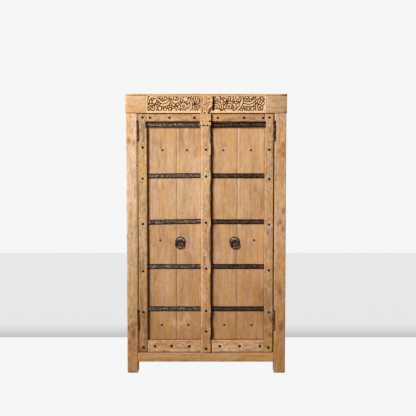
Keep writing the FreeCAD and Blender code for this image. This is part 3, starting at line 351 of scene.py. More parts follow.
# %% Patterns that follow the grain
# each noise: pull along the grain, size in mm, detail, roughness, distortion
# each range: where its layer starts, where it is full, and how strong it then is unless a timber says
STREAK_NOISE = (0.055, 13, 4, 0.62, 0.35)
PATCH_NOISE = (0.3, 120, 2, 0.5)
PATCH_RANGE = (0.25, 0.75)
PATCH_SHIFT = 0.18
FIGURE_STOPS = (0.30, 0.52, 0.74)
PORE_NOISE = (0.055, 6, 3, 0.7)
PORE_RANGE = (0.54, 0.70, 0.6)
FLECK_NOISE = (0.45, 15, 4, 0.7)
DARK_FLECK_RANGE = (0.49, 0.30)
PALE_FLECK_RANGE = (0.52, 0.70)
PIT_NOISE = (1, 8, 2, 0.6)
PIT_RANGE = (0.42, 0.30)
BLEACH_NOISE = (0.25, 34, 5, 0.62, 0.6)
BLEACH_RANGE = (0.47, 0.68, 0.75)
HONEY_NOISE = (0.2, 46, 4, 0.55, 0.4)
HONEY_RANGE = (0.46, 0.60, 0.6)
HONEY_SLICE = 3.0


def along_grain(tree, place, along, pull, size_mm, detail, roughness, distortion=0.0, **settings):
    """Noise with spots of this size, pulled out along the grain."""
    scale = [pull if axis == along else 1 for axis in "XYZ"]
    pulled = add(tree, "Mapping", place, inputs={"Scale": scale})
    return add(tree, "TexNoise", pulled, inputs={
        "Scale": 1 / (size_mm * MM), "Detail": detail, "Roughness": roughness, "Distortion": distortion},
        **settings)


# %% [markdown]
# The timber is old teak-like wood, brushed and waxed: honey and tan, with streaks that follow the
# grain. Each board carries its own number in the attribute "board", so no two boards show the same
# figure. The attribute "worn" is 1 where handling rounded an arris and left it pale, and "hollow" is
# 1 in a carved or knocked-in place, where dark wax stays and shade is painted in, darker the deeper
# the cut. Towards the floor the timber is painted darker and browner: painted shade, where the light
# falls off. Dry old wood hardly shines, so its roughness is high and its specular level low.

# %% Timber
FLECK_COLOUR = "#8d5f3c"
BLEACHED_COLOUR = "#dabb9f"
HONEY_COLOUR = "#d8a768"
HOLLOW_WAX_AND_SHADE_COLOUR = "#40210d"
FLOOR_SHADE_COLOUR = "#e1cdaf"
BOARD_STEP = (3.7, 5.3, 2.9)
WORN_SHARE = 0.75
FLOOR_SHADE_TOP = 1.3
FLOOR_SHADE_REACH = 1.2
FLOOR_SHADE_POWER = 1.5
FRONT_FACE_MM = (6, 2)
ROUGHNESS = (0.78, 0.62)
PORE_RELIEF = 0.6
BUMP_MM = 0.8


def timber(name, shades, along, flecks, knots_and_shadows=(), streaks=1.0, dirt_and_shade=(), floor_shade=1.0, pits=0.0,
           scuffs=(), front=None):
    """Wood with its grain along X, Y or Z; shades run from dark streak to pale, with the worn arris last.

    Towards the floor the timber is painted darker and browner by the given share: painted shade, where the
    light falls off. pits are small dark chisel marks. Where front is given, grime, painted shade and
    scuffs stay on that face of the board.
    """
    dark, middle, pale, arris = shades
    material, tree, shader = new_material(name)
    here = add(tree, "TexCoord", out="Object")
    place = add(tree, "SeparateXYZ", here).node.outputs
    number, worn, hollow = (
        add(tree, "Attribute", attribute_name=layer, out="Fac") for layer in ("board", "worn", "hollow")
    )
    step = add(tree, "VectorMath", BOARD_STEP, number, operation="SCALE")
    own = add(tree, "VectorMath", here, step, operation="ADD")
    streak = along_grain(tree, own, along, *STREAK_NOISE)
    patch = along_grain(tree, own, along, *PATCH_NOISE)
    pores = along_grain(tree, own, along, *PORE_NOISE)
    spots = along_grain(tree, own, along, *FLECK_NOISE)
    bleached = along_grain(tree, own, along, *BLEACH_NOISE)
    waxed = along_grain(tree, own, along, *HONEY_NOISE, noise_dimensions="4D")
    waxed.node.inputs["W"].default_value = HONEY_SLICE
    spread = 0.5 * (1 - streaks)
    figure = add(tree, "MapRange", patch, *PATCH_RANGE, spread - PATCH_SHIFT, spread + PATCH_SHIFT)
    tone = add(tree, "Math", streak, streaks, figure, operation="MULTIPLY_ADD")
    colour = add(tree, "ValToRGB", tone, stops=zip(FIGURE_STOPS, (dark, middle, pale)))
    # old wax has washed out of some places and left them pinkish and dull
    colour = laid(tree, colour, BLEACHED_COLOUR, bleached, *BLEACH_RANGE)
    # in others the wax has stayed and deepened to honey
    colour = laid(tree, colour, HONEY_COLOUR, waxed, *HONEY_RANGE)
    colour = laid(tree, colour, dark, pores, *PORE_RANGE)
    colour = laid(tree, colour, FLECK_COLOUR, spots, *DARK_FLECK_RANGE, flecks)
    colour = laid(tree, colour, arris, spots, *PALE_FLECK_RANGE, flecks)
    if pits:
        marks = along_grain(tree, own, along, *PIT_NOISE)
        colour = laid(tree, colour, DIRT_AND_SHADE_COLOUR, marks, *PIT_RANGE, pits)
    # on the front face only: a layer has ended 6 mm behind it and is full up to 2 mm
    on_front = None
    if front is not None:
        off, on = (front + depth * MM for depth in FRONT_FACE_MM)
        on_front = add(tree, "MapRange", place["Y"], off, on, 0.0, 1.0)
    colour = scuffed(tree, colour, here, scuffs, on_front)
    colour = with_knots_and_shadows(tree, colour, here, bleached, knots_and_shadows)
    # dark bands along edges: some grime, and painted shade beside the proud parts
    colour = dirt_and_shade_bands(tree, colour, place, bleached, dirt_and_shade, on_front)
    colour = laid(tree, colour, arris, worn, most=WORN_SHARE)
    # hollow: dark wax and painted shade in the carved ground
    colour = laid(tree, colour, HOLLOW_WAX_AND_SHADE_COLOUR, hollow)
    # painted shade: darker and browner towards the floor, where the light falls off
    down = add(tree, "MapRange", place["Z"], FLOOR_SHADE_TOP, FLOOR_SHADE_TOP - FLOOR_SHADE_REACH, 0.0, 1.0)
    down = add(tree, "Math", down, FLOOR_SHADE_POWER, operation="POWER")
    colour = laid(tree, colour, FLOOR_SHADE_COLOUR, down, most=floor_shade, blend_type="MULTIPLY")
    rough = add(tree, "MapRange", streak, 0.2, 0.8, *ROUGHNESS)
    height = add(tree, "Math", pores, PORE_RELIEF, streak, operation="MULTIPLY_ADD")
    bump = add(tree, "Bump", inputs={"Height": height, "Strength": 0.5, "Distance": BUMP_MM * MM})
    for socket, value in (("Base Color", colour), ("Roughness", rough), ("Normal", bump)):
        tree.links.new(value, shader.inputs[socket])
    shader.inputs["Specular IOR Level"].default_value = 0.1
    return material


# %% [markdown]
# The iron is forged, blackened and rubbed: near black where the hammer scale stays, brown and grey
# where hands and brushes reach it. The attribute "worn" again marks the raised places; on the pull
# plates it marks a painted highlight.

# %% Iron
# each noise: size in mm, detail, roughness
SCALE_NOISE = (7, 4, 0.65)
BARE_RANGE = (0.40, 0.64)
IRON_PATCH_NOISE = (26, 5, 0.7)
IRON_PATCH_RANGE = (0.46, 0.62)
HAMMER_NOISE = (11, 2, 0.5)
RUBBED_EVERYWHERE = 0.06
RUST_COLOUR = "#8e5f43"
HAMMER_DEPTH_MM = 0.6


def forged_iron(name, black, wear_and_highlight, roughness=0.5, bright=0.4, patchy=0.0, least=0.3):
    """Blackened iron with rubbed high places, as bright as bare metal there; hollows are rusty.

    patchy is how strongly larger patches are rubbed wherever they lie; least is how metallic the black is.
    """
    material, tree, shader = new_material(name)
    here = add(tree, "TexCoord", out="Object")
    scale, wide, dents = (
        add(tree, "TexNoise", here, inputs={"Scale": 1 / (size * MM), "Detail": detail, "Roughness": rough})
        for size, detail, rough in (SCALE_NOISE, IRON_PATCH_NOISE, HAMMER_NOISE)
    )
    worn, hollow = (add(tree, "Attribute", attribute_name=layer, out="Fac") for layer in ("worn", "hollow"))
    bare = add(tree, "MapRange", scale, *BARE_RANGE)
    share = add(tree, "Math", worn, bare, operation="MULTIPLY")
    share = add(tree, "Math", scale, RUBBED_EVERYWHERE, share, operation="MULTIPLY_ADD", use_clamp=True)
    wide = add(tree, "MapRange", wide, *IRON_PATCH_RANGE, 0.0, patchy)
    share = add(tree, "Math", share, wide, operation="MAXIMUM")
    colour = add(tree, "Mix", share, linear(black), linear(wear_and_highlight), data_type="RGBA")
    colour = laid(tree, colour, RUST_COLOUR, hollow)
    metal = add(tree, "MapRange", share, 0.0, 1.0, least, bright)
    dull = add(tree, "MapRange", scale, 0.2, 0.8, roughness - 0.12, roughness + 0.14)
    bump = add(tree, "Bump", inputs={"Height": dents, "Strength": 0.5, "Distance": HAMMER_DEPTH_MM * MM})
    for socket, value in (("Base Color", colour), ("Metallic", metal), ("Roughness", dull), ("Normal", bump)):
        tree.links.new(value, shader.inputs[socket])
    shader.inputs["Specular IOR Level"].default_value = 0.06
    return material


# %% [markdown]
# A board's figure follows where it grew and how it was worked: the case is brushed smooth, the leaf
# frames still show chisel marks, the planks are plain. Each gets its own mixture of the same recipe,
# with the knots that show on the posts.

# %% One material for each kind of timber and iron
POST_KNOTS = {
    "left": ((-0.500, 1.528, 0.016), (-0.472, 1.512, 0.012), (-0.512, 0.300, 0.010), (-0.478, 0.262, 0.020),
             (-0.508, 0.205, 0.012), (-0.486, 0.318, 0.012), (-0.464, 0.330, 0.010), (-0.500, 0.378, 0.008)),
    "right": ((0.498, 1.500, 0.014), (0.505, 1.070, 0.016), (0.482, 1.000, 0.012), (0.495, 0.310, 0.022),
              (0.489, 0.539, 0.012), (0.480, 1.464, 0.010), (0.497, 1.440, 0.012), (0.470, 0.985, 0.010),
              (0.500, 0.950, 0.012)),
}
STILE_KNOTS = ((0.418, 1.597, 0.012), (0.418, 0.256, 0.013), (0.424, 0.353, 0.010), (-0.427, 1.593, 0.008),
               (-0.409, 0.374, 0.009), (0.402, 0.93, 0.009))
stile_edges = {"left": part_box("left_hinge_stile")[1].x, "right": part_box("right_hinge_stile")[0].x}
batten_low, batten_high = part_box("centre_batten")
rail_top, lowest_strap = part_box("left_bottom_rail")[1].z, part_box("left_iron_straps")[1].z - 0.035
plank_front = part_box("left_outer_plank")[0].y
# Grime and painted shade: the plank bands beside the stiles and the batten are as wide as the shadows these
# cast, and those along the bottom rail and under the top strap lie where shade falls; on the lintel and the
# frieze the wide bands darken the right-hand ends, away from the lamp.
RAIL_DIRT_AND_SHADE = (("Z", rail_top, 0.009, 0.8), ("Z", lowest_strap, 0.010, 0.8))
PLANK_DIRT_AND_SHADE = {
    "left": (("X", stile_edges["left"], 0.026, 0.6), ("X", batten_low.x, 0.006, 0.6), *RAIL_DIRT_AND_SHADE),
    "right": (("X", stile_edges["right"], 0.008, 0.6), ("X", batten_high.x, 0.026, 0.6), *RAIL_DIRT_AND_SHADE),
}
frieze_low, frieze_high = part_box("carved_frieze")
LINTEL_DIRT_AND_SHADE = (("X", 0.56, 0.26, 0.30), ("Z", 1.700, 0.009, 0.5), ("X", frieze_high.x, 0.004, 0.9))
# Painted shadows: a knot's dark rings on each plank, just below and right of its pull, where the pull's ring
# casts its shadow.
RING_PAINTED_SHADOWS = {"left": ((-0.149, 0.846, 0.013),), "right": ((0.209, 0.850, 0.013),)}
PLANK_SCUFFS = ((-0.186, 0.330, 0.13, 0.055),)
BATTEN_SCUFFS = ((-0.008, 0.796, 0.018, 0.05), (-0.005, 0.50, 0.012, 0.06), (-0.008, 1.25, 0.012, 0.10))
TIMBERS = {
    "left_post": timber("brushed_timber_left_post", ("#c49e7a", "#e2c2a7", "#eed4be", "#f4dfc8"), "Z",
                        0.5, POST_KNOTS["left"], pits=0.5),
    "right_post": timber("brushed_timber_right_post", ("#b98f64", "#d8ae86", "#e5c09a", "#f2d3ae"), "Z",
                         0.55, POST_KNOTS["right"], pits=0.6),
    "lintel": timber("brushed_timber_lintel", ("#b98d62", "#d5b08a", "#dfbe99", "#ecd3b0"), "X", 0.36,
                     dirt_and_shade=LINTEL_DIRT_AND_SHADE),
    "case_rail": timber("brushed_timber_rail", ("#a9794a", "#ca9c6c", "#dbb07f", "#e9c496"), "X", 0.3,
                        floor_shade=0.3),
    "stile": timber("chiselled_timber_stile", ("#94704f", "#bc9872", "#cdac89", "#e8ccaa"), "Z", 0.62,
                    STILE_KNOTS, pits=0.7, floor_shade=0.6),
    "top_rail": timber("chiselled_timber_top_rail", ("#96704c", "#b38c66", "#c6a07a", "#e6c6a0"), "X", 0.60,
                       pits=0.6),
    "bottom_rail": timber("chiselled_timber_bottom_rail", ("#b48862", "#dfb38c", "#f0c8a4", "#fde1be"),
                          "X", 0.70, floor_shade=0.25, pits=0.7),
    "batten": timber("chiselled_timber_batten", ("#a98260", "#caa480", "#dbb593", "#f3d7b2"), "Z", 0.55,
                     pits=0.6, scuffs=BATTEN_SCUFFS, floor_shade=0.7, front=batten_low.y),
    "carving": timber("carved_timber", ("#b98659", "#d8a678", "#e8bc8c", "#f7d5aa"), "X", 0.34,
                      dirt_and_shade=(("X", 0.32, 0.32, 0.14),)),
    "left_plank": timber("plain_timber_left_plank", ("#ae855c", "#caa582", "#d9ba98", "#e5c8a7"), "Z", 0.28,
                         RING_PAINTED_SHADOWS["left"], 0.7, PLANK_DIRT_AND_SHADE["left"], scuffs=PLANK_SCUFFS,
                         front=plank_front),
    "right_plank": timber("plain_timber_right_plank", ("#ac8156", "#c9a07a", "#d8b48f", "#e4c4a1"), "Z", 0.28,
                          RING_PAINTED_SHADOWS["right"], 0.7, PLANK_DIRT_AND_SHADE["right"], floor_shade=0.8, front=plank_front),
}
for kind, along in (("side", "Z"), ("level", "X"), ("deep", "Y")):
    TIMBERS[kind] = timber("plain_timber_" + kind, ("#a67a4d", "#c79c70", "#d8b086", "#e4c094"), along, 0.2)
IRONS = {
    # The left straps' iron is painted lighter than the right straps': a lit and a shaded copy of one iron, as
    # the light falls from the left.
    "left_strap": forged_iron("forged_iron_left_strap_lit", "#1e1815", "#c3a48e"),
    "right_strap": forged_iron("forged_iron_right_strap_shaded", "#120d0a", "#8c6a50"),
    "frame_nail": forged_iron("forged_iron_frame_nail", "#120c0b", "#3a2a26"),
    "plank_nail": forged_iron("rusted_iron_plank_nail", "#281812", "#5c4032"),
    "hinge": forged_iron("rusted_iron_hinge", "#281b15", "#94704f", bright=0.3, patchy=0.75),
    # the pull's pale worn colour is the painted highlight on the plates
    "pull": forged_iron("forged_iron_pull", "#0d0909", "#e2d6d0", 0.6, bright=0.35, least=0.0),
}
print(len(TIMBERS), "timbers,", len(IRONS), "irons")

# %% [markdown]
# Most pieces start as a copy of their own CAD solid, merged and cleaned so that each flat side is one
# face. That keeps every joint and nail hole where the frame has it. A finished piece rides on the
# body of its node.

# %% From a CAD solid to a piece
CREASE_DEG = 40
slots = {part["node"]: part["material_slot"] for part in frame["record"]["subparts"]}


def solids_of(node):
    """The node's solids as one merged mesh, with each flat side as one face."""
    shape = bmesh.new()
    shape.from_mesh(nodes[node].data)
    bmesh.ops.remove_doubles(shape, verts=shape.verts, dist=0.02 * MM)
    bmesh.ops.dissolve_limit(shape, angle_limit=math.radians(0.5), verts=shape.verts, edges=shape.edges)
    return shape


def islands(shape):
    """The separate solids in a mesh, each as a list of its vertices."""
    seen, found = set(), []
    for start in shape.verts:
        if start in seen:
            continue
        seen.add(start)
        edge, group = [start], []
        while edge:
            here = edge.pop()
            group.append(here)
            for link in here.link_edges:
                other = link.other_vert(here)
                if other not in seen:
                    seen.add(other)
                    edge.append(other)
        found.append(group)
    return found


def extent(points):
    """The lowest and highest corner of some vertices."""
    low = Vector([min(point.co[axis] for point in points) for axis in range(3)])
    high = Vector([max(point.co[axis] for point in points) for axis in range(3)])
    return low, high


def solid_boxes(node):
    """The lowest and highest corner of each of a node's solids."""
    shape = solids_of(node)
    boxes = [extent(group) for group in islands(shape)]
    shape.free()
    return boxes


def block(low, high):
    """A plain block between two corners."""
    shape = bmesh.new()
    bmesh.ops.create_cube(shape, size=1)
    bmesh.ops.scale(shape, verts=shape.verts, vec=high - low)
    bmesh.ops.translate(shape, verts=shape.verts, vec=(low + high) / 2)
    return shape


def bevelled(shape, edges, width_mm, segments=2):
    """Bevel edges by a width in mm."""
    bmesh.ops.bevel(shape, geom=edges, offset=width_mm * MM, segments=segments, profile=0.5,
                    affect="EDGES", clamp_overlap=True, material=-1)


def finished(name, shape, material, node, stands_for=()):
    """A mesh becomes a piece on the node's body."""
    mesh = bpy.data.meshes.new(name)
    shape.to_mesh(mesh)
    shape.free()
    mesh.materials.append(material)
    mesh.shade_smooth()
    mesh.set_sharp_from_angle(angle=math.radians(CREASE_DEG))
    piece = bpy.data.objects.new(name, mesh)
    bpy.context.scene.collection.objects.link(piece)
    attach(piece, nodes[node]["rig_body"])
    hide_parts(*stands_for)
    return piece


# %% [markdown]
# Old timber has no straight line left on it. The long arrises are bevelled, then the solid is cut
# into a net of small faces, because only a face with points inside it can bend. Noise then pushes
# the points in, never out: shallow scallops as an adze leaves them, and chips where an arris was
# knocked, less where it faces the back. How sharp the mesh is at a point tells where hands and
# brushes have worn it pale.

# %% Weathering
ARRIS_MM = 1.3
LONG_EDGE_MM = 24
SCALLOP_MM = 15
SCALLOP_STRETCH = 2.3
SHARPNESS = 7
CHIP_MM = 21
WEAR_MM = 30
CHIP_FROM = 0.12
WORN_LEAST = 0.35
SHELTERED = 0.25
FACES_BACK = 0.3
ARRIS_ANGLE = 0.5
SOLID_STEP = 1.73
NODE_STEP = 0.37


def sliced(shape, axis, low, high, step):
    """Cut a mesh across one axis into equal lengths of about step."""
    normal = Vector([float(axis == here) for here in range(3)])
    count = round((high[axis] - low[axis]) / step)
    for cut in range(1, count):
        place = normal * (low[axis] + (high[axis] - low[axis]) * cut / count)
        everything = [*shape.verts, *shape.edges, *shape.faces]
        bmesh.ops.bisect_plane(shape, geom=everything, dist=0.001 * MM, plane_co=place, plane_no=normal)


def worn_down(shape, along, scallop, chip, number):
    """Push a mesh in with scallops and chips, in mm, and note how worn each point is."""
    board = shape.verts.layers.float.new("board")
    worn = shape.verts.layers.float.new("worn")
    for place, group in enumerate(islands(shape)):
        for point in group:
            point[board] = number + place * SOLID_STEP
    shape.normal_update()
    moves = []
    for point in shape.verts:
        here = point.co.copy()
        stretched = here / (SCALLOP_MM * MM)
        stretched[along] /= SCALLOP_STRETCH
        sharp = min(1.0, (point.calc_shell_factor() - 1) * SHARPNESS)
        rub = 0.5 + 0.5 * noise.noise(here / (WEAR_MM * MM))
        point[worn] = sharp * (WORN_LEAST + (1 - WORN_LEAST) * rub)
        push = scallop * (0.5 - 0.5 * noise.noise(stretched + Vector((0, 0, point[board]))))
        knock = max(0.0, noise.noise(here / (CHIP_MM * MM) + Vector((7, 3, point[board]))) - CHIP_FROM)
        knock *= SHELTERED if point.normal.y > FACES_BACK else 1
        moves.append((point, point.normal * (-(push + sharp * chip * knock) * MM)))
    for point, move in moves:
        point.co += move


def weathered(node, wood, along, steps, scallop, chip):
    """A worn copy of a timber node: steps, scallop and chip in mm."""
    shape = solids_of(node)
    long_edges = [
        edge for edge in shape.edges
        if edge.is_convex and edge.calc_length() > LONG_EDGE_MM * MM and edge.calc_face_angle() > ARRIS_ANGLE
    ]
    bevelled(shape, long_edges, ARRIS_MM)
    low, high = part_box(node)
    for axis in range(3):
        step = steps[0] if axis == along else steps[1]
        sliced(shape, axis, low, high, step * MM)
    own_number = sum(map(ord, node)) % 97 * NODE_STEP
    worn_down(shape, along, scallop, chip, own_number)
    return finished("worn_" + node, shape, TIMBERS[wood], node, (node,))


# %% [markdown]
# Each row here is one kind of board: which nodes, which timber, how its grain runs, how finely it is
# cut, and how deep its scallops and chips are. The stiles and rails of the doors were hewn and never
# planed, so they get the finest net. Boards inside the case get a coarse one.

# %% Work every board
X, Y, Z = range(3)
BOARDS = (
    # nodes, timber, grain, net along and across, scallops, chips
    (("front_post_left",), "left_post", Z, (12, 9), 0.8, 7),
    (("front_post_right",), "right_post", Z, (12, 9), 0.8, 7),
    (("lintel",), "lintel", X, (20, 14), 0.5, 4),
    (("front_bottom_rail",), "case_rail", X, (16, 12), 0.6, 6),
    (("left_hinge_stile", "right_hinge_stile"), "stile", Z, (13, 9), 1.1, 6),
    (("left_top_rail", "right_top_rail"), "top_rail", X, (9, 8), 1.0, 11),
    (("left_bottom_rail", "right_bottom_rail"), "bottom_rail", X, (10, 9), 1.1, 9),
    (("left_outer_plank", "left_inner_plank"), "left_plank", Z, (26, 18), 0.6, 2),
    (("right_outer_plank", "right_inner_plank"), "right_plank", Z, (26, 18), 0.6, 2),
    (("rear_post_left", "rear_post_right"), "side", Z, (40, 24), 0.5, 3),
    (("left_side_boards", "right_side_boards", "back_boards"), "side", Z, (60, 40), 0.5, 2),
    (("left_ledgers", "right_ledgers"), "level", X, (40, 24), 0.8, 4),
    (("rear_bottom_rail", "rear_top_rail", "upper_door_stop", "lower_door_stop"), "level", X, (50, 30),
     0.5, 3),
    (("top_boards", "floor_boards", "shelf_lower", "shelf_middle", "shelf_upper"), "level", X, (50, 40),
     0.5, 3),
    (("left_side_bottom_rail", "left_side_top_rail", "right_side_bottom_rail", "right_side_top_rail",
      "shelf_cleats"), "deep", Y, (50, 30), 0.5, 3),
)

made = []
for names, wood, along, steps, scallop, chip in BOARDS:
    for node in names:
        made.append(weathered(node, wood, along, steps, scallop, chip))
print(len(made), "boards,", sum(len(piece.data.polygons) for piece in made), "faces")

# %% [markdown]
# A thin fillet is nailed to each post behind the front of the gap beside the leaf, against dust. It
# fills a part of the gap's width, so the gap reads as a thin dark line.

# %% Dust fillets in the gaps beside the leaves
FILLET_GAP_MM = {"left": 4.2, "right": 6.0}
FILLET_DEPTH_MM = (2.5, 24)
FILLET_ARRIS_MM = 0.6

for side, post, inward in (("left", "front_post_left", 1), ("right", "front_post_right", 0)):
    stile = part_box(side + "_hinge_stile")
    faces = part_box(post)[inward].x, stile[1 - inward].x
    to_leaf = math.copysign(FILLET_GAP_MM[side] * MM, faces[0] - faces[1])
    ends = sorted((faces[0], faces[1] + to_leaf))
    fillet = block(*(
        Vector((ends[end], stile[0].y + FILLET_DEPTH_MM[end] * MM, stile[end].z)) for end in (0, 1)
    ))
    bevelled(fillet, fillet.edges[:], FILLET_ARRIS_MM)
    finished(f"{side}_dust_fillet", fillet, TIMBERS["side"], post)
    print(side, "fillet", [round(end, 4) for end in ends])

# %% [markdown]
# The batten that covers the meeting of the leaves has stopped chamfers: its arrises are cut back at
# 45 degrees between the nails and left nearly whole beside each nail, where the timber needs its
# strength. The chamfer is bevelled at its full width first. Then each point of it is drawn back
# towards the old corner by how near the next nail is.

# %% Centre batten
CHAMFER_MM = 10
CHAMFER_LEAST = 0.28
STOP_LENGTH_MM = 34
STOP_HALF_MM = 16
BATTEN_NET_MM = (9, 8)
BATTEN_NUMBER = 4.1

nail_levels = sorted(
    (low.z + high.z) / 2 for low, high in solid_boxes("left_frame_nails") if low.x > batten_low.x
)
print("batten nails at", [round(level, 3) for level in nail_levels])


def chamfer_share(z):
    """How much of the chamfer's full width is cut at this level."""
    near = min(abs(z - level) for level in nail_levels)
    t = min(1.0, max(0.0, (near - STOP_HALF_MM * MM) / (STOP_LENGTH_MM * MM)))
    return CHAMFER_LEAST + (1 - CHAMFER_LEAST) * t * t * (3 - 2 * t)


shape = block(batten_low, batten_high)
upright = [edge for edge in shape.edges if edge.calc_length() > 1
           and all(point.co.y < batten_low.y + MM for point in edge.verts)]
bevelled(shape, upright, CHAMFER_MM, 1)
sliced(shape, Z, batten_low, batten_high, BATTEN_NET_MM[0] * MM)
sliced(shape, X, batten_low, batten_high, BATTEN_NET_MM[1] * MM)
reach = (CHAMFER_MM + 0.1) * MM
for point in shape.verts:
    for corner_x in (batten_low.x, batten_high.x):
        corner = Vector((corner_x, batten_low.y, point.co.z))
        gap = point.co - corner
        if abs(gap.x) < reach and gap.y < reach:
            point.co = corner + gap * chamfer_share(point.co.z)
worn_down(shape, Z, 1.2, 5, BATTEN_NUMBER)
finished("chamfered_centre_batten", shape, TIMBERS["batten"], "centre_batten", ("centre_batten",))

# %% [markdown]
# The frieze is carved foliage: the vines, rings, leaves and buds stand 6.6 mm over a ground that is
# cut 7 mm deep, with rounded backs. A carver draws the lines first, so the pattern here is a table of
# drawn lines. A height is then worked out for every point of a fine grid from how far it is from the
# nearest lines.

# %% Carving tools
import numpy as np


def curved(points, steps=7):
    """A smooth line through a few points."""
    path = [points[0], *points, points[-1]]
    line = []
    for a, b, c, d in zip(path, path[1:], path[2:], path[3:]):
        a, b, c, d = map(np.array, (a, b, c, d))
        for step in range(steps):
            t = step / steps
            line.append(0.5 * (2 * b + (c - a) * t + (2 * a - 5 * b + 4 * c - d) * t * t
                               + (3 * b - a - 3 * c + d) * t ** 3))
    line.append(np.array(points[-1]))
    return np.array(line)


def nearest(x, z, line):
    """Distance from each grid point to a line, and where along the line that is, from 0 to 1."""
    gap, along = np.full(x.shape, np.inf), np.zeros(x.shape)
    count = len(line) - 1
    for index in range(count):
        start, run = line[index], line[index + 1] - line[index]
        t = np.clip(((x - start[0]) * run[0] + (z - start[1]) * run[1]) / max(run @ run, 1e-12), 0, 1)
        here = np.hypot(x - start[0] - t * run[0], z - start[1] - t * run[1])
        closer = here < gap
        gap, along = np.where(closer, here, gap), np.where(closer, (index + t) / count, along)
    return gap, along


def near_box(x, z, line, margin):
    """Which grid points are near enough to a line to be worth measuring."""
    low, high = line.min(0) - margin, line.max(0) + margin
    return (x > low[0]) & (x < high[0]) & (z > low[1]) & (z < high[1])


# %% [markdown]
# A carver leaves the forms standing and cuts only a narrow dark outline between them. So for every
# point of the board the nearest form and the second nearest are found. Halfway between the two runs
# the outline, and each form rises from it with a rounded shoulder. A form grows only a few
# millimetres beyond its own drawing, and where nothing is near, the ground stays open.

# %% Vine, ring, leaf and bud
RELIEF_MM = 6.6
OUTLINE_MM = 3.6
GROWTH_MM = 4.5
SHOULDER_MM = 3.4
VEIN_MM = 1.2
RING_TURNS = 0.86


def nearer(field, where, gap, vein):
    """Note a form's distance: the nearest and second nearest count, with the nearest one's veins."""
    first, second, veins = field
    closest = gap < first[where]
    second[where] = np.minimum(second[where], np.where(closest, first[where], gap))
    veins[where] = np.where(closest, vein, veins[where])
    first[where] = np.minimum(first[where], gap)


def add_vine(field, x, z, line, half_width):
    """A band of that half width along a line, with a fine groove on its back."""
    where = near_box(x, z, line, half_width + 4 * GROWTH_MM)
    gap, along = nearest(x[where], z[where], line)
    width = half_width * (0.72 + 0.28 * np.sin(np.pi * np.clip(along, 0.06, 0.94)))
    nearer(field, where, gap - width, VEIN_MM * np.exp(-(gap / (0.22 * width)) ** 2))


def ring(centre, radius, half_width, start_deg):
    """The line of a ring that a bud fills: nearly a full turn, open where its stem would come in."""
    angle = np.radians(start_deg) + 2 * np.pi * RING_TURNS * np.linspace(0, 1, 22)
    return np.array(centre) + (radius - half_width) * np.stack((np.cos(angle), np.sin(angle)), 1)


def add_leaf(field, x, z, centre, length, width, angle_deg):
    """A pointed leaf with a middle vein and side veins."""
    turn = math.radians(angle_deg)
    dx, dz = x - centre[0], z - centre[1]
    u, v = dx * math.cos(turn) + dz * math.sin(turn), np.abs(dz * math.cos(turn) - dx * math.sin(turn))
    beyond = np.maximum(np.abs(u) - length / 2, 0)
    edge = width / 2 * (1 - np.clip(np.abs(u) / (length / 2), 0, 1) ** 1.9)
    middle = np.exp(-(v / 0.9) ** 2)
    sides = 0.7 * np.clip(np.sin((u + v) * 2 * math.pi / 6.5), 0, 1)
    nearer(field, np.full(x.shape, True), np.hypot(beyond, v) * (beyond > 0) + (v - edge) * (beyond == 0),
           VEIN_MM * np.maximum(middle, sides))


def add_bud(field, x, z, centre, radius):
    """A round bud."""
    nearer(field, np.full(x.shape, True), np.hypot(x - centre[0], z - centre[1]) - radius, 0)


# %% [markdown]
# The two panels aren't mirrored: a hand drew each. The left one is a double S with two crescents, a
# large eye and a fan of leaves at its right end. The right one has nested arcs, an eye, a tall curved
# stem and a long S that ends in a second fan. Lines are in millimetres from a panel's lower left
# corner: (half width, points), rings (centre, radius, half width, start), leaves (centre, length,
# width, angle) and buds (across, up, radius).

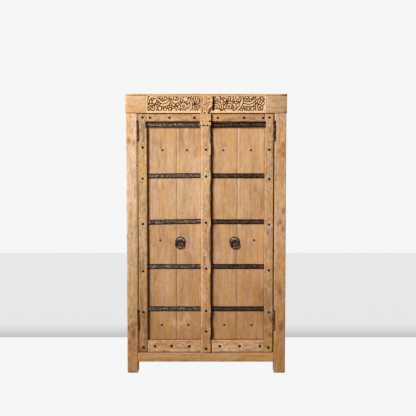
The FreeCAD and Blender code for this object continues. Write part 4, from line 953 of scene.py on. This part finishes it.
# %% The drawing
PANELS = {
    "left": {
        "box_mm": (-376, -38, 1717, 1815),
        "vines": (
            (4.6, ((8, 54), (6, 70), (14, 86), (34, 92), (54, 89), (68, 76), (83, 63), (99, 57),
                   (117, 63), (133, 77))),
            (4.0, ((9, 48), (21, 43), (36, 43), (47, 47))), (4.0, ((17, 53), (15, 64), (19, 75))),
            (4.6, ((83, 41), (101, 38), (122, 43), (138, 57), (143, 75))),
            (4.6, ((143, 97), (147, 83), (151, 64), (160, 46), (177, 34))),
            (5.0, ((158, 92), (157, 75), (168, 61), (185, 61), (201, 68), (207, 83), (199, 93), (186, 96))),
            (4.0, ((218, 95), (219, 79), (215, 63))), (4.2, ((181, 39), (180, 24), (189, 10), (206, 5))),
            (4.4, ((275, 87), (265, 67), (256, 53))),
            (4.8, ((288, 92), (279, 70), (278, 46), (281, 27), (271, 13), (249, 12))),
            (4.2, ((296, 43), (289, 77))), (4.2, ((300, 46), (301, 87))), (4.2, ((304, 47), (315, 87))),
            (4.2, ((307, 46), (325, 74))), (4.0, ((312, 43), (327, 57))),
            (4.4, ((293, 37), (295, 21), (300, 5))), (4.0, ((337, 31), (333, 13), (325, 3))),
            (4.2, ((50, 41), (52, 26), (48, 8))), (3.6, ((72, 93), (68, 83))),
            (3.6, ((100, 92), (103, 75))), (3.6, ((129, 95), (132, 86))),
        ),
        "rings": (
            ((230, 33), 20, 5.4, -70), ((314, 28), 14.5, 4.4, -30), ((29, 26), 13.5, 4.4, 150),
        ),
        "leaves": (
            ((42, 63), 40, 18, 80), ((175, 85), 27, 11, 35), ((242, 77), 32, 26, 80),
            ((205, 29), 30, 14, 80), ((264, 38), 28, 14, 80), ((170, 11), 34, 15, 0),
        ),
        "buds": (
            (84, 86, 5.0), (114, 82, 5.0), (67, 60, 4.2), (230, 33, 4.2), (269, 94, 4.4), (314, 28, 5.0),
            (29, 26, 4.5), (78, 19, 8.5), (112, 15, 6.5), (132, 27, 4.8), (143, 15, 6.0), (64, 34, 4.2),
            (96, 26, 4.0), (259, 93, 3.4), (62, 6, 3.2), (333, 88, 3.4), (14, 5, 3.4),
        ),
    },
    "right": {
        "box_mm": (51, 384, 1717, 1815),
        "vines": (
            (4.6, ((6, 64), (9, 80), (22, 88), (34, 79), (31, 64))),
            (4.4, ((0, 40), (14, 44), (26, 35), (29, 19))),
            (4.6, ((2, 56), (22, 57), (38, 48), (45, 30), (43, 14))),
            (4.6, ((47, 73), (52, 56), (52, 35), (54, 14))),
            (4.6, ((77, 57), (98, 62), (119, 55), (135, 41), (139, 25), (130, 10))),
            (4.0, ((51, 91), (63, 94), (81, 89), (88, 77))), (4.0, ((83, 62), (95, 70), (100, 87))),
            (4.8, ((115, 92), (117, 77), (112, 66))),
            (4.6, ((132, 92), (136, 74), (151, 66), (166, 72), (172, 89))),
            (6.0, ((180, 96), (181, 74), (179, 56), (169, 33), (153, 14), (140, 5))),
            (3.8, ((125, 55), (140, 57), (157, 61))),
            (4.8, ((196, 63), (216, 54), (240, 57), (261, 73), (282, 87), (296, 91))),
            (4.8, ((192, 41), (208, 38), (229, 37), (250, 42), (264, 54))), (4.2, ((273, 56), (278, 74))),
            (4.2, ((285, 53), (294, 74))), (4.2, ((297, 49), (310, 68))), (4.2, ((308, 43), (322, 56))),
            (4.0, ((303, 87), (319, 77))), (4.2, ((278, 48), (277, 27), (281, 7))),
            (4.4, ((4, 11), (25, 10), (46, 11))), (5.0, ((75, 12), (96, 11), (119, 8))),
            (4.0, ((325, 38), (324, 17), (316, 4))),
        ),
        "rings": (
            ((98, 32), 16.5, 5.4, 200), ((212, 78), 13.5, 4.4, 60), ((298, 25), 14.5, 4.6, -40),
            ((200, 14), 11.0, 3.8, 120),
        ),
        "leaves": (
            ((69, 31), 24, 11, 90), ((153, 88), 26, 17, 90), ((153, 36), 38, 13, 60),
            ((238, 88), 24, 12, 20), ((248, 18), 28, 14, 70), ((222, 20), 22, 10, -60),
        ),
        "buds": (
            (20, 73, 4.6), (3, 91, 4.0), (12, 26, 6.0), (72, 73, 8.0), (98, 32, 4.5), (212, 78, 4.4),
            (298, 25, 5.0), (200, 14, 4.0), (264, 26, 4.0), (216, 3, 3.4), (119, 30, 3.6), (261, 85, 3.6),
            (263, 5, 3.6), (237, 7, 3.2),
        ),
    },
}

# %% [markdown]
# Where the ground is still open, a carver sets a bud: the widest gap first.

# %% From the drawing to a height
FILL_LEAST_MM = 7.5
FILL_GAP_MM = 3.5
FILL_MOST_MM = 5.0
BORDER_MM = 2.0


def foliage(x, z):
    """Height of the carved foliage over its ground, in mm, at places in mm."""
    height = np.zeros(x.shape)
    for panel in PANELS.values():
        left, right, bottom, top = panel["box_mm"]
        border = np.minimum.reduce([x - left, right - x, z - bottom, top - z])
        here = border > 0
        px, pz = x[here] - left, z[here] - bottom
        field = np.full((3, px.size), 99.0)
        for half_width, points in panel["vines"]:
            add_vine(field, px, pz, curved(points), half_width)
        for centre, radius, half_width, start in panel["rings"]:
            add_vine(field, px, pz, ring(centre, radius, half_width, start), half_width)
        for centre, length, width, angle in panel["leaves"]:
            add_leaf(field, px, pz, centre, length, width, angle)
        for across, up, radius in panel["buds"]:
            add_bud(field, px, pz, (across, up), radius)
        while True:
            open_ground = np.minimum(field[0], border[here] + 1)
            best = int(open_ground.argmax())
            if open_ground[best] < FILL_LEAST_MM:
                break
            add_bud(field, px, pz, (px[best], pz[best]), min(open_ground[best] - FILL_GAP_MM, FILL_MOST_MM))
        first, second, veins = field
        halfway = (second - first - OUTLINE_MM) / 2
        reach = np.minimum.reduce([GROWTH_MM - first, halfway, border[here] - BORDER_MM])
        rise = np.clip(reach / SHOULDER_MM, 0, 1)
        height[here] = RELIEF_MM * np.sqrt(1 - (1 - rise) ** 2) - veins * (rise == 1)
    return height


# %% [markdown]
# The board is one grid with about a millimetre between its points. Its rim stays at full height, and
# the ground lies 7 mm deep. The attribute "hollow" is strongest on the ground and in the tight
# corners: dark wax there, and painted shade, darker the deeper the cut; and "worn" is strongest on
# the backs of the vines.

# %% Carve the frieze
GRID_MM = 1.05
GROUND_MM = 7.0
RIM_MM = (9, 9, 12, 5)
RIM_SLOPE_MM = 1.6
BEHIND_CAPITAL_MM = 4
HOLLOW_FROM = 0.45
WORN_TO = 0.34
WAX_SHADE_AND_WEAR_BLEND = 0.30


def walled(shape, rim, back, worn):
    """Extrude a rim straight back to a board's rear face."""
    for item in bmesh.ops.extrude_edge_only(shape, edges=rim)["geom"]:
        if isinstance(item, bmesh.types.BMVert):
            item.co.y = back
            item[worn] = 0


def carved_grid(name, low, high, carve, node):
    """A grid in place of a board, whose front's depth, wear, and dark wax with painted shade come from
    carve(x, z).
    """
    shape = bmesh.new()
    count_x, count_z = (round((high[axis] - low[axis]) / (GRID_MM * MM)) for axis in (X, Z))
    bmesh.ops.create_grid(shape, x_segments=count_x, y_segments=count_z, size=0.5)
    bmesh.ops.rotate(shape, verts=shape.verts, matrix=Matrix.Rotation(math.radians(90), 3, "X"))
    bmesh.ops.scale(shape, verts=shape.verts, vec=(high.x - low.x, 1, high.z - low.z))
    bmesh.ops.translate(shape, verts=shape.verts, vec=((low.x + high.x) / 2, low.y, (low.z + high.z) / 2))
    places = np.array([point.co for point in shape.verts])
    depth, worn, hollow, kept = carve(places[:, 0], places[:, 2])
    worn_layer = shape.verts.layers.float.new("worn")
    hollow_layer = shape.verts.layers.float.new("hollow")
    for point, down, rub, dark in zip(shape.verts, depth, worn, hollow):
        point.co.y += down
        point[worn_layer], point[hollow_layer] = rub, dark
    if not kept.all():
        outside = [point for point, keep in zip(shape.verts, kept) if not keep]
        bmesh.ops.delete(shape, geom=outside, context="VERTS")
    walled(shape, [edge for edge in shape.edges if edge.is_boundary], high.y, worn_layer)
    back = [edge for edge in shape.edges if edge.is_boundary]
    bmesh.ops.edgeloop_fill(shape, edges=back)
    bmesh.ops.recalc_face_normals(shape, faces=shape.faces)
    print(name, len(shape.faces), "faces")
    return finished(name, shape, TIMBERS["carving"], node, (node,))


def smooth_share(value):
    """0 to 1 with soft ends."""
    value = np.clip(value, 0, 1)
    return value * value * (3 - 2 * value)


capital_low, capital_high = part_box("carved_capital")
frieze_plain = (capital_low.x + BEHIND_CAPITAL_MM * MM, capital_high.x - BEHIND_CAPITAL_MM * MM)


def carve_frieze(x, z):
    """Depth, wear, dark wax with painted shade, and what is kept, at points of the frieze."""
    left, right, bottom, top = (value * MM for value in RIM_MM)
    inside = np.minimum.reduce([x - frieze_low.x - left, frieze_high.x - right - x,
                                z - frieze_low.z - bottom, frieze_high.z - top - z])
    behind_capital = np.minimum(x - frieze_plain[0], frieze_plain[1] - x)
    sunk = smooth_share(np.minimum(inside, -behind_capital) / (RIM_SLOPE_MM * MM) + 0.5)
    ground = GROUND_MM * MM
    depth = sunk * (ground - foliage(x / MM, z / MM) * MM)
    share = depth / ground
    hollow = smooth_share((share - HOLLOW_FROM) / WAX_SHADE_AND_WEAR_BLEND)
    worn = smooth_share((WORN_TO - share) / WAX_SHADE_AND_WEAR_BLEND)
    return depth, worn, hollow, np.full(x.shape, True)


carved_grid("carved_frieze_foliage", frieze_low, frieze_high, carve_frieze, "carved_frieze")

# %% [markdown]
# A carved capital crowns the batten. Its upper part is a leafy crest with two lobes on its right and
# a round knob; its lower part is a block with a scalloped foot and small drilled florets. It is cut
# from the same kind of grid as the frieze, trimmed to the outline, with a plain block behind it.

# %% The capital's drawing, in mm
CAPITAL_OUTLINE = (
    (-37, 1818), (-36, 1790), (-39, 1768), (-39, 1760), (-35, 1751), (-35, 1741), (-40, 1729), (-41, 1700),
    (-41, 1633), (-35, 1627), (-24, 1625), (-17, 1631), (-9, 1625), (3, 1625), (9, 1631), (16, 1625),
    (25, 1627), (30.5, 1634), (30.5, 1696), (28, 1702), (11, 1702), (15, 1716), (22, 1731), (39, 1746),
    (43, 1756), (38, 1769), (43.5, 1776), (45, 1788), (43, 1800), (37, 1812), (36, 1818),
)
KNOB = (-9.8, 1773, 16)
CAPITAL_NAILS = ((-10.6, 1707, 5.6, 6.5), (23.1, 1652, 7.0, 9.0))
GROOVES = (
    (2.3, ((12, 1787), (15, 1795), (21.5, 1798), (28, 1792))),
    (2.3, ((14.5, 1766), (20, 1773), (28, 1782))),
    (1.8, ((-30, 1806), (-24, 1796), (-27, 1784))),
    (1.8, ((-4, 1808), (3, 1800), (5, 1791))),
    (1.7, ((-27, 1752), (-22, 1736), (-24, 1716), (-27, 1698))),
    (1.7, ((4, 1752), (3, 1734), (6, 1716), (8, 1703))),
    (1.7, ((20, 1760), (10, 1748), (8, 1738))),
    (1.6, ((-13, 1748), (-12, 1734), (-10, 1720))),
)
RIDGES = (
    (4.5, ((24, 1808), (35, 1800), (39, 1788), (34, 1777), (26, 1772))),
    (4.5, ((24, 1764), (34, 1762), (36, 1754), (24, 1744), (14, 1736), (9, 1722))),
    (3.6, ((-32, 1812), (-30, 1795), (-34, 1775), (-33, 1762))),
    (3.4, ((-20, 1811), (-6, 1813), (6, 1809), (12, 1801))),
    (3.4, ((-33, 1744), (-32, 1728), (-34, 1706))),
)
FLORETS = ((-2.4, 1672, 2.6), (-19.6, 1650, 2.8), (1.2, 1647, 2.4), (15.2, 1674, 2.2), (-31, 1672, 2.2),
           (-30, 1692, 2.0), (8, 1690, 2.0), (-33, 1631, 2.4), (-10, 1631, 2.2), (10, 1632, 2.4),
           (-22, 1631, 1.8), (21, 1633, 2.0), (20, 1688, 1.8), (-8, 1688, 1.8), (-33, 1652, 1.8))
FLORET_SIZE = 1.25
BLOCK_TOP_MM = 1702
print(len(RIDGES), "ridges,", len(GROOVES), "grooves,", len(FLORETS), "florets")

# %% [markdown]
# The depth of each point is built up as a carver would work: first the two levels of crest and
# block, then the raised ridges, the round knob in its moat, the grooves cut with a gouge, and the
# florets, each a drilled hole in five petals. A few chips and the knob's nail hole come last.

# %% Carve the capital
CREST_DEPTH_MM = 5.0
BLOCK_DEPTH_MM = 8.5
STEP_MM = 14
RIDGE_MM = 2.6
MOAT_MM = 2.0
GROOVE_MM = 4.2
DRILLED_MM = 2.6
PETAL_MM = 1.3
PETALS = 5
CHIPPED_MM = 1.2
CHIPPED_FROM = 0.16
CHIP_SPOT_MM = 4.5
NAIL_HOLE_MM = 1.5
DEEPEST_MM = 17
CAPITAL_WORN = 0.3


def within(x, z, outline):
    """Which points lie inside a closed outline (even-odd rule)."""
    inside = np.full(x.shape, False)
    for (ax, az), (bx, bz) in zip(outline, [*outline[1:], outline[0]]):
        crosses = (az > z) != (bz > z)
        at = ax + (z - az) * (bx - ax) / ((bz - az) or 1e-12)
        inside ^= crosses & (x < at)
    return inside


def carve_capital(x, z):
    """Depth, wear, dark wax with painted shade, and what is kept, at points of the capital."""
    x, z = x / MM, z / MM
    lower = smooth_share((BLOCK_TOP_MM + 6 - z) / STEP_MM)
    depth = CREST_DEPTH_MM + (BLOCK_DEPTH_MM - CREST_DEPTH_MM) * lower
    # dark holds dark wax and painted shade in the moat, the grooves, the drilled florets, the nail hole and
    # the chips
    dark = np.zeros(x.shape)
    for half_width, points in RIDGES:
        gap, along = nearest(x, z, curved(points))
        depth -= RIDGE_MM * np.sqrt(np.clip(1 - (gap / half_width) ** 2, 0, 1))
    knob_x, knob_z, knob_radius = KNOB
    gap = np.hypot(x - knob_x, z - knob_z)
    dome = np.sqrt(np.clip(1 - (gap / knob_radius) ** 2, 0, 1))
    moat = np.exp(-((gap - knob_radius - 1) / 1.6) ** 2)
    depth = np.where(gap < knob_radius, CREST_DEPTH_MM * (1 - dome), depth) + MOAT_MM * moat
    dark = np.maximum(dark, 0.75 * moat)
    for half_width, points in GROOVES:
        gap, along = nearest(x, z, curved(points))
        cut = np.exp(-(gap / half_width) ** 2) * np.sin(np.pi * np.clip(along, 0.12, 0.88))
        depth += GROOVE_MM * cut
        dark = np.maximum(dark, cut)
    for floret_x, floret_z, radius in FLORETS:
        radius *= FLORET_SIZE
        gap = np.hypot(x - floret_x, z - floret_z)
        turn = np.arctan2(z - floret_z, x - floret_x)
        petals = np.exp(-((gap - 2.6 * radius) / (1.1 * radius)) ** 2) * (0.5 + 0.5 * np.cos(PETALS * turn))
        drilled = np.exp(-(gap / radius) ** 2)
        depth += DRILLED_MM * drilled - PETAL_MM * petals
        dark = np.maximum(dark, 0.7 * drilled)
    nail = np.exp(-(np.hypot(x - knob_x, z - knob_z - 1) / 3.6) ** 2)
    places = zip(x / CHIP_SPOT_MM, 0 * x, z / CHIP_SPOT_MM)
    chipped = np.array([noise.noise(Vector(place)) for place in places])
    depth += CHIPPED_MM * np.clip(chipped, 0, 1) + NAIL_HOLE_MM * nail
    dark = np.maximum.reduce([dark, 0.9 * nail, 1.1 * np.clip(chipped - CHIPPED_FROM, 0, 0.5)])
    depth = np.clip(depth, 0, DEEPEST_MM)
    worn = np.clip(1 - dark, 0, 1) * CAPITAL_WORN
    kept = within(x, z, curved(CAPITAL_OUTLINE, 3))
    return depth * MM, worn, dark, kept


crest_back = Vector((capital_high.x, frieze_low.y - MM, capital_high.z))
carved_grid("carved_capital_crest", capital_low, crest_back, carve_capital, "carved_capital")
core_low = Vector((capital_low.x + 2 * MM, crest_back.y - 2 * MM, capital_low.z + 6 * MM))
core_high = Vector((batten_high.x - 3 * MM, capital_high.y, BLOCK_TOP_MM * MM - MM))
core = block(core_low, core_high)
bevelled(core, core.edges[:], 1.5)
finished("capital_block", core, TIMBERS["batten"], "carved_capital")

# %% [markdown]
# The straps are flat forged bars, laid over the planks. Their edges are bevelled down and the middle
# is a hammered band whose high places are rubbed, so from afar each strap reads as a dark bar with a
# lighter, flecked middle. Each is a grid laid where its own solid is, with that solid's tilt.

# %% Iron straps
STRAP_NET_MM = (5.5, 2.6)
STRAP_EDGE_SHARE = 0.46
STRAP_EDGE_DEPTH_MM = 2.4
STRAP_BLEND = 0.18
HAMMER_BUMP_MM = 1.3
HAMMER_SPOT_MM = 9
WANDER_MM = 0.8
WANDER_LENGTH_MM = 40


def strap(shape, solid):
    """One hammered strap over its own solid."""
    low, high = extent(solid)
    ends = []
    for end_x in (low.x, high.x):
        levels = [point.co.z for point in solid if abs(point.co.x - end_x) < 4 * MM]
        ends.append((min(levels) + max(levels)) / 2)
    length = high.x - low.x
    width = (high.z - low.z) - abs(ends[1] - ends[0])
    counts = round(length / (STRAP_NET_MM[0] * MM)), round(width / (STRAP_NET_MM[1] * MM))
    made = bmesh.ops.create_grid(shape, x_segments=counts[0], y_segments=counts[1], size=0.5)["verts"]
    worn = shape.verts.layers.float["worn"]
    for point in made:
        u, v = point.co.x + 0.5, 2 * point.co.y
        wander = WANDER_MM * MM * noise.noise(Vector((u * length / (WANDER_LENGTH_MM * MM), v, low.z)))
        x = low.x + length * u
        z = ends[0] + (ends[1] - ends[0]) * u + v * width / 2 + wander * abs(v)
        bump = noise.noise(Vector((x, v * 0.012, z)) / (HAMMER_SPOT_MM * MM))
        middle = min(1.0, max(0.0, (STRAP_EDGE_SHARE - abs(v) + STRAP_BLEND) / STRAP_BLEND))
        depth = STRAP_EDGE_DEPTH_MM * (1 - middle) + middle * HAMMER_BUMP_MM * (0.5 - 0.5 * bump)
        point.co = (x, low.y + depth * MM, z)
        point[worn] = middle * max(0.0, min(1.0, 0.45 + 0.9 * bump))
    rim = [edge for edge in {edge for point in made for edge in point.link_edges} if edge.is_boundary]
    rim.sort(key=lambda edge: (edge.verts[0].co.x, edge.verts[0].co.z))
    walled(shape, rim, high.y, worn)


for side in ("left", "right"):
    node = side + "_iron_straps"
    solids = solids_of(node)
    shape = bmesh.new()
    shape.verts.layers.float.new("worn")
    for solid in islands(solids):
        strap(shape, solid)
    solids.free()
    bmesh.ops.recalc_face_normals(shape, faces=shape.faces)
    piece = finished(f"hammered_{node}", shape, IRONS[side + "_strap"], node, (node,))
    print(piece.name, len(piece.data.polygons), "faces")

# %% [markdown]
# A forged nail head is a low dome with a few flats. One half profile is spun round the nail's axis,
# and each head is then dented a little differently.

# %% Nail heads
HEAD_PROFILE = ((1.00, -0.10), (1.00, 0.22), (0.84, 0.58), (0.52, 0.88), (0.20, 1.0), (0.0, 1.0))
HEAD_STEPS = 11
DENT_MM = 0.35
dents = random.Random(7)


def spun(shape, profile, centre, steps, axis=(0, 1, 0)):
    """Spin a profile of (radius, distance towards the front) round an axis towards Y."""
    points = [shape.verts.new((centre.x + radius, centre.y - out, centre.z)) for radius, out in profile]
    edges = [shape.edges.new(pair) for pair in zip(points, points[1:])]
    bmesh.ops.spin(shape, geom=points + edges, cent=centre, axis=axis, angle=2 * math.pi, steps=steps,
                   use_merge=True)
    bmesh.ops.remove_doubles(shape, verts=shape.verts, dist=0.01 * MM)


def nail_heads(name, node, places, iron, stands_for=()):
    """Domed heads at (centre on the timber, radius, proud)."""
    shape = bmesh.new()
    worn = shape.verts.layers.float.new("worn")
    for centre, radius, proud in places:
        head = bmesh.new()
        head.verts.layers.float.new("worn")
        spun(head, [(radius * across, proud * out) for across, out in HEAD_PROFILE], centre, HEAD_STEPS)
        for point in head.verts:
            point.co += Vector([dents.uniform(-1, 1) * DENT_MM * MM for _ in range(3)])
            point.co.y = max(point.co.y, centre.y - proud)
        mesh = bpy.data.meshes.new("head")
        head.to_mesh(mesh)
        head.free()
        shape.from_mesh(mesh)
        bpy.data.meshes.remove(mesh)
    for point in shape.verts:
        point[worn] = 0.5 + 0.5 * noise.noise(point.co / (6 * MM))
    bmesh.ops.recalc_face_normals(shape, faces=shape.faces)
    return finished(name, shape, IRONS[iron], node, stands_for)


NAIL_KINDS = {"frame": (5.0, 1.08), "plank": (2.5, 1.3)}
BOTTOM_NAILS_GROWN = 1.22
CAPITAL_NAIL_MM = 4

for side in ("left", "right"):
    for kind, (proud, grown) in NAIL_KINDS.items():
        node = f"{side}_{kind}_nails"
        places = []
        for low, high in solid_boxes(node):
            centre = Vector(((low.x + high.x) / 2, low.y + proud * MM, (low.z + high.z) / 2))
            size = BOTTOM_NAILS_GROWN if high.z < rail_top and kind == "frame" else grown
            places.append((centre, (high.x - low.x) / 2 * size, proud * MM))
        nail_heads("forged_" + node, node, places, kind + "_nail", (node,))
        print(node, len(places), "heads")

capital_places = [
    (Vector((x * MM, capital_low.y + depth * MM, z * MM)), radius * MM, CAPITAL_NAIL_MM * MM)
    for x, z, radius, depth in CAPITAL_NAILS
]
nail_heads("forged_capital_nails", "left_frame_nails", capital_places, "frame_nail")

# %% [markdown]
# Each pull is a round dished plate with a rolled rim and a boss, a staple through the boss, and a
# ring that hangs in it. Plate and ring are spun. The left ring's own solid hangs a little askew, so
# its centre is read from its box.

# %% Ring pulls
PLATE_PROFILE = (
    (1.00, 0.0), (1.00, 0.45), (0.97, 0.85), (0.92, 1.00), (0.86, 0.92), (0.82, 0.55), (0.80, 0.20),
    (0.78, 0.18), (0.74, 0.34), (0.66, 0.55), (0.56, 0.70), (0.44, 0.80), (0.30, 0.88), (0.14, 0.93),
    (0.0, 0.94),
)
PLATE_PAINTED_HIGHLIGHT = (0.55, 0.80)
PLATE_BOSS = 0.56
RING_BAR_GROWN = 1.28
RING_RUBBED = 0.3
PLATE_DENTS_MM = (9, 0.5)
RING_DENTS_MM = (8, 0.5)
PLATE_STEPS = 44
RING_STEPS = 44
RING_SIDES = 12


def hammered(shape, size, amount):
    """Dent a mesh with noise of this size and depth in mm, and note the raised places as worn."""
    worn = shape.verts.layers.float.get("worn") or shape.verts.layers.float.new("worn")
    shape.normal_update()
    for point in shape.verts:
        bump = noise.noise(point.co / (size * MM))
        point[worn] = 0.5 + 0.5 * bump
        point.co += point.normal * ((bump - 1) / 2 * amount * MM)


for side in ("left", "right"):
    plate, hoop = side + "_pull_plate", side + "_pull_ring"
    low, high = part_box(plate)
    centre = Vector(((low.x + high.x) / 2, high.y, (low.z + high.z) / 2))
    radius, thick = (high.x - low.x) / 2, high.y - low.y
    shape = bmesh.new()
    spun(shape, [(radius * across, thick * out) for across, out in PLATE_PROFILE], centre, PLATE_STEPS)
    bmesh.ops.recalc_face_normals(shape, faces=shape.faces)
    hammered(shape, *PLATE_DENTS_MM)
    worn, hollow = shape.verts.layers.float["worn"], shape.verts.layers.float.new("hollow")
    for point in shape.verts:
        across, up = (point.co.x - centre.x) / radius, (point.co.z - centre.z) / radius
        share = math.hypot(across, up)
        # painted highlight: the upper part of the dished band is laid in pale bright metal where the light
        # catches it; the boss is rusty, and its upper half is painted a lighter brown, as if lit from above
        wear_and_highlight = min(1.0, max(0.25, 1.9 * up + 0.4 * across))
        point[worn] = wear_and_highlight if PLATE_PAINTED_HIGHLIGHT[0] < share < PLATE_PAINTED_HIGHLIGHT[1] else 0.0
        point[hollow] = min(0.8, max(0.35, 2.4 * up)) if share < PLATE_BOSS else 0.0
    finished("hammered_" + plate, shape, IRONS["pull"], plate, (plate,))

    low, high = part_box(hoop)
    centre = (low + high) / 2
    bar = (high.y - low.y) / 2 * RING_BAR_GROWN
    mean_radius = (high.x - low.x) / 2 - bar
    shape = bmesh.new()
    profile = [(mean_radius + bar * math.cos(turn), bar * math.sin(turn))
               for turn in (2 * math.pi * step / RING_SIDES for step in range(RING_SIDES + 1))]
    spun(shape, profile, centre, RING_STEPS)
    bmesh.ops.recalc_face_normals(shape, faces=shape.faces)
    hammered(shape, *RING_DENTS_MM)
    worn = shape.verts.layers.float["worn"]
    for point in shape.verts:
        inner = math.hypot(point.co.x - centre.x, point.co.z - centre.z) < mean_radius - 0.4 * bar
        point[worn] = RING_RUBBED if inner else 0.0
    finished("forged_" + hoop, shape, IRONS["pull"], hoop, (hoop,))
    print(side, "plate radius", round(radius / MM, 1), "ring radius", round(mean_radius / MM, 1))

# %% [markdown]
# The staples, hinges and pins already have their real forms in the frame. They only need iron.

# %% Iron for the frame's own pieces
for name, obj in nodes.items():
    if slots[name] == "hinge_iron" or name.endswith("_ring_staple"):
        obj.data.materials.clear()
        obj.data.materials.append(IRONS["hinge" if slots[name] == "hinge_iron" else "pull"])
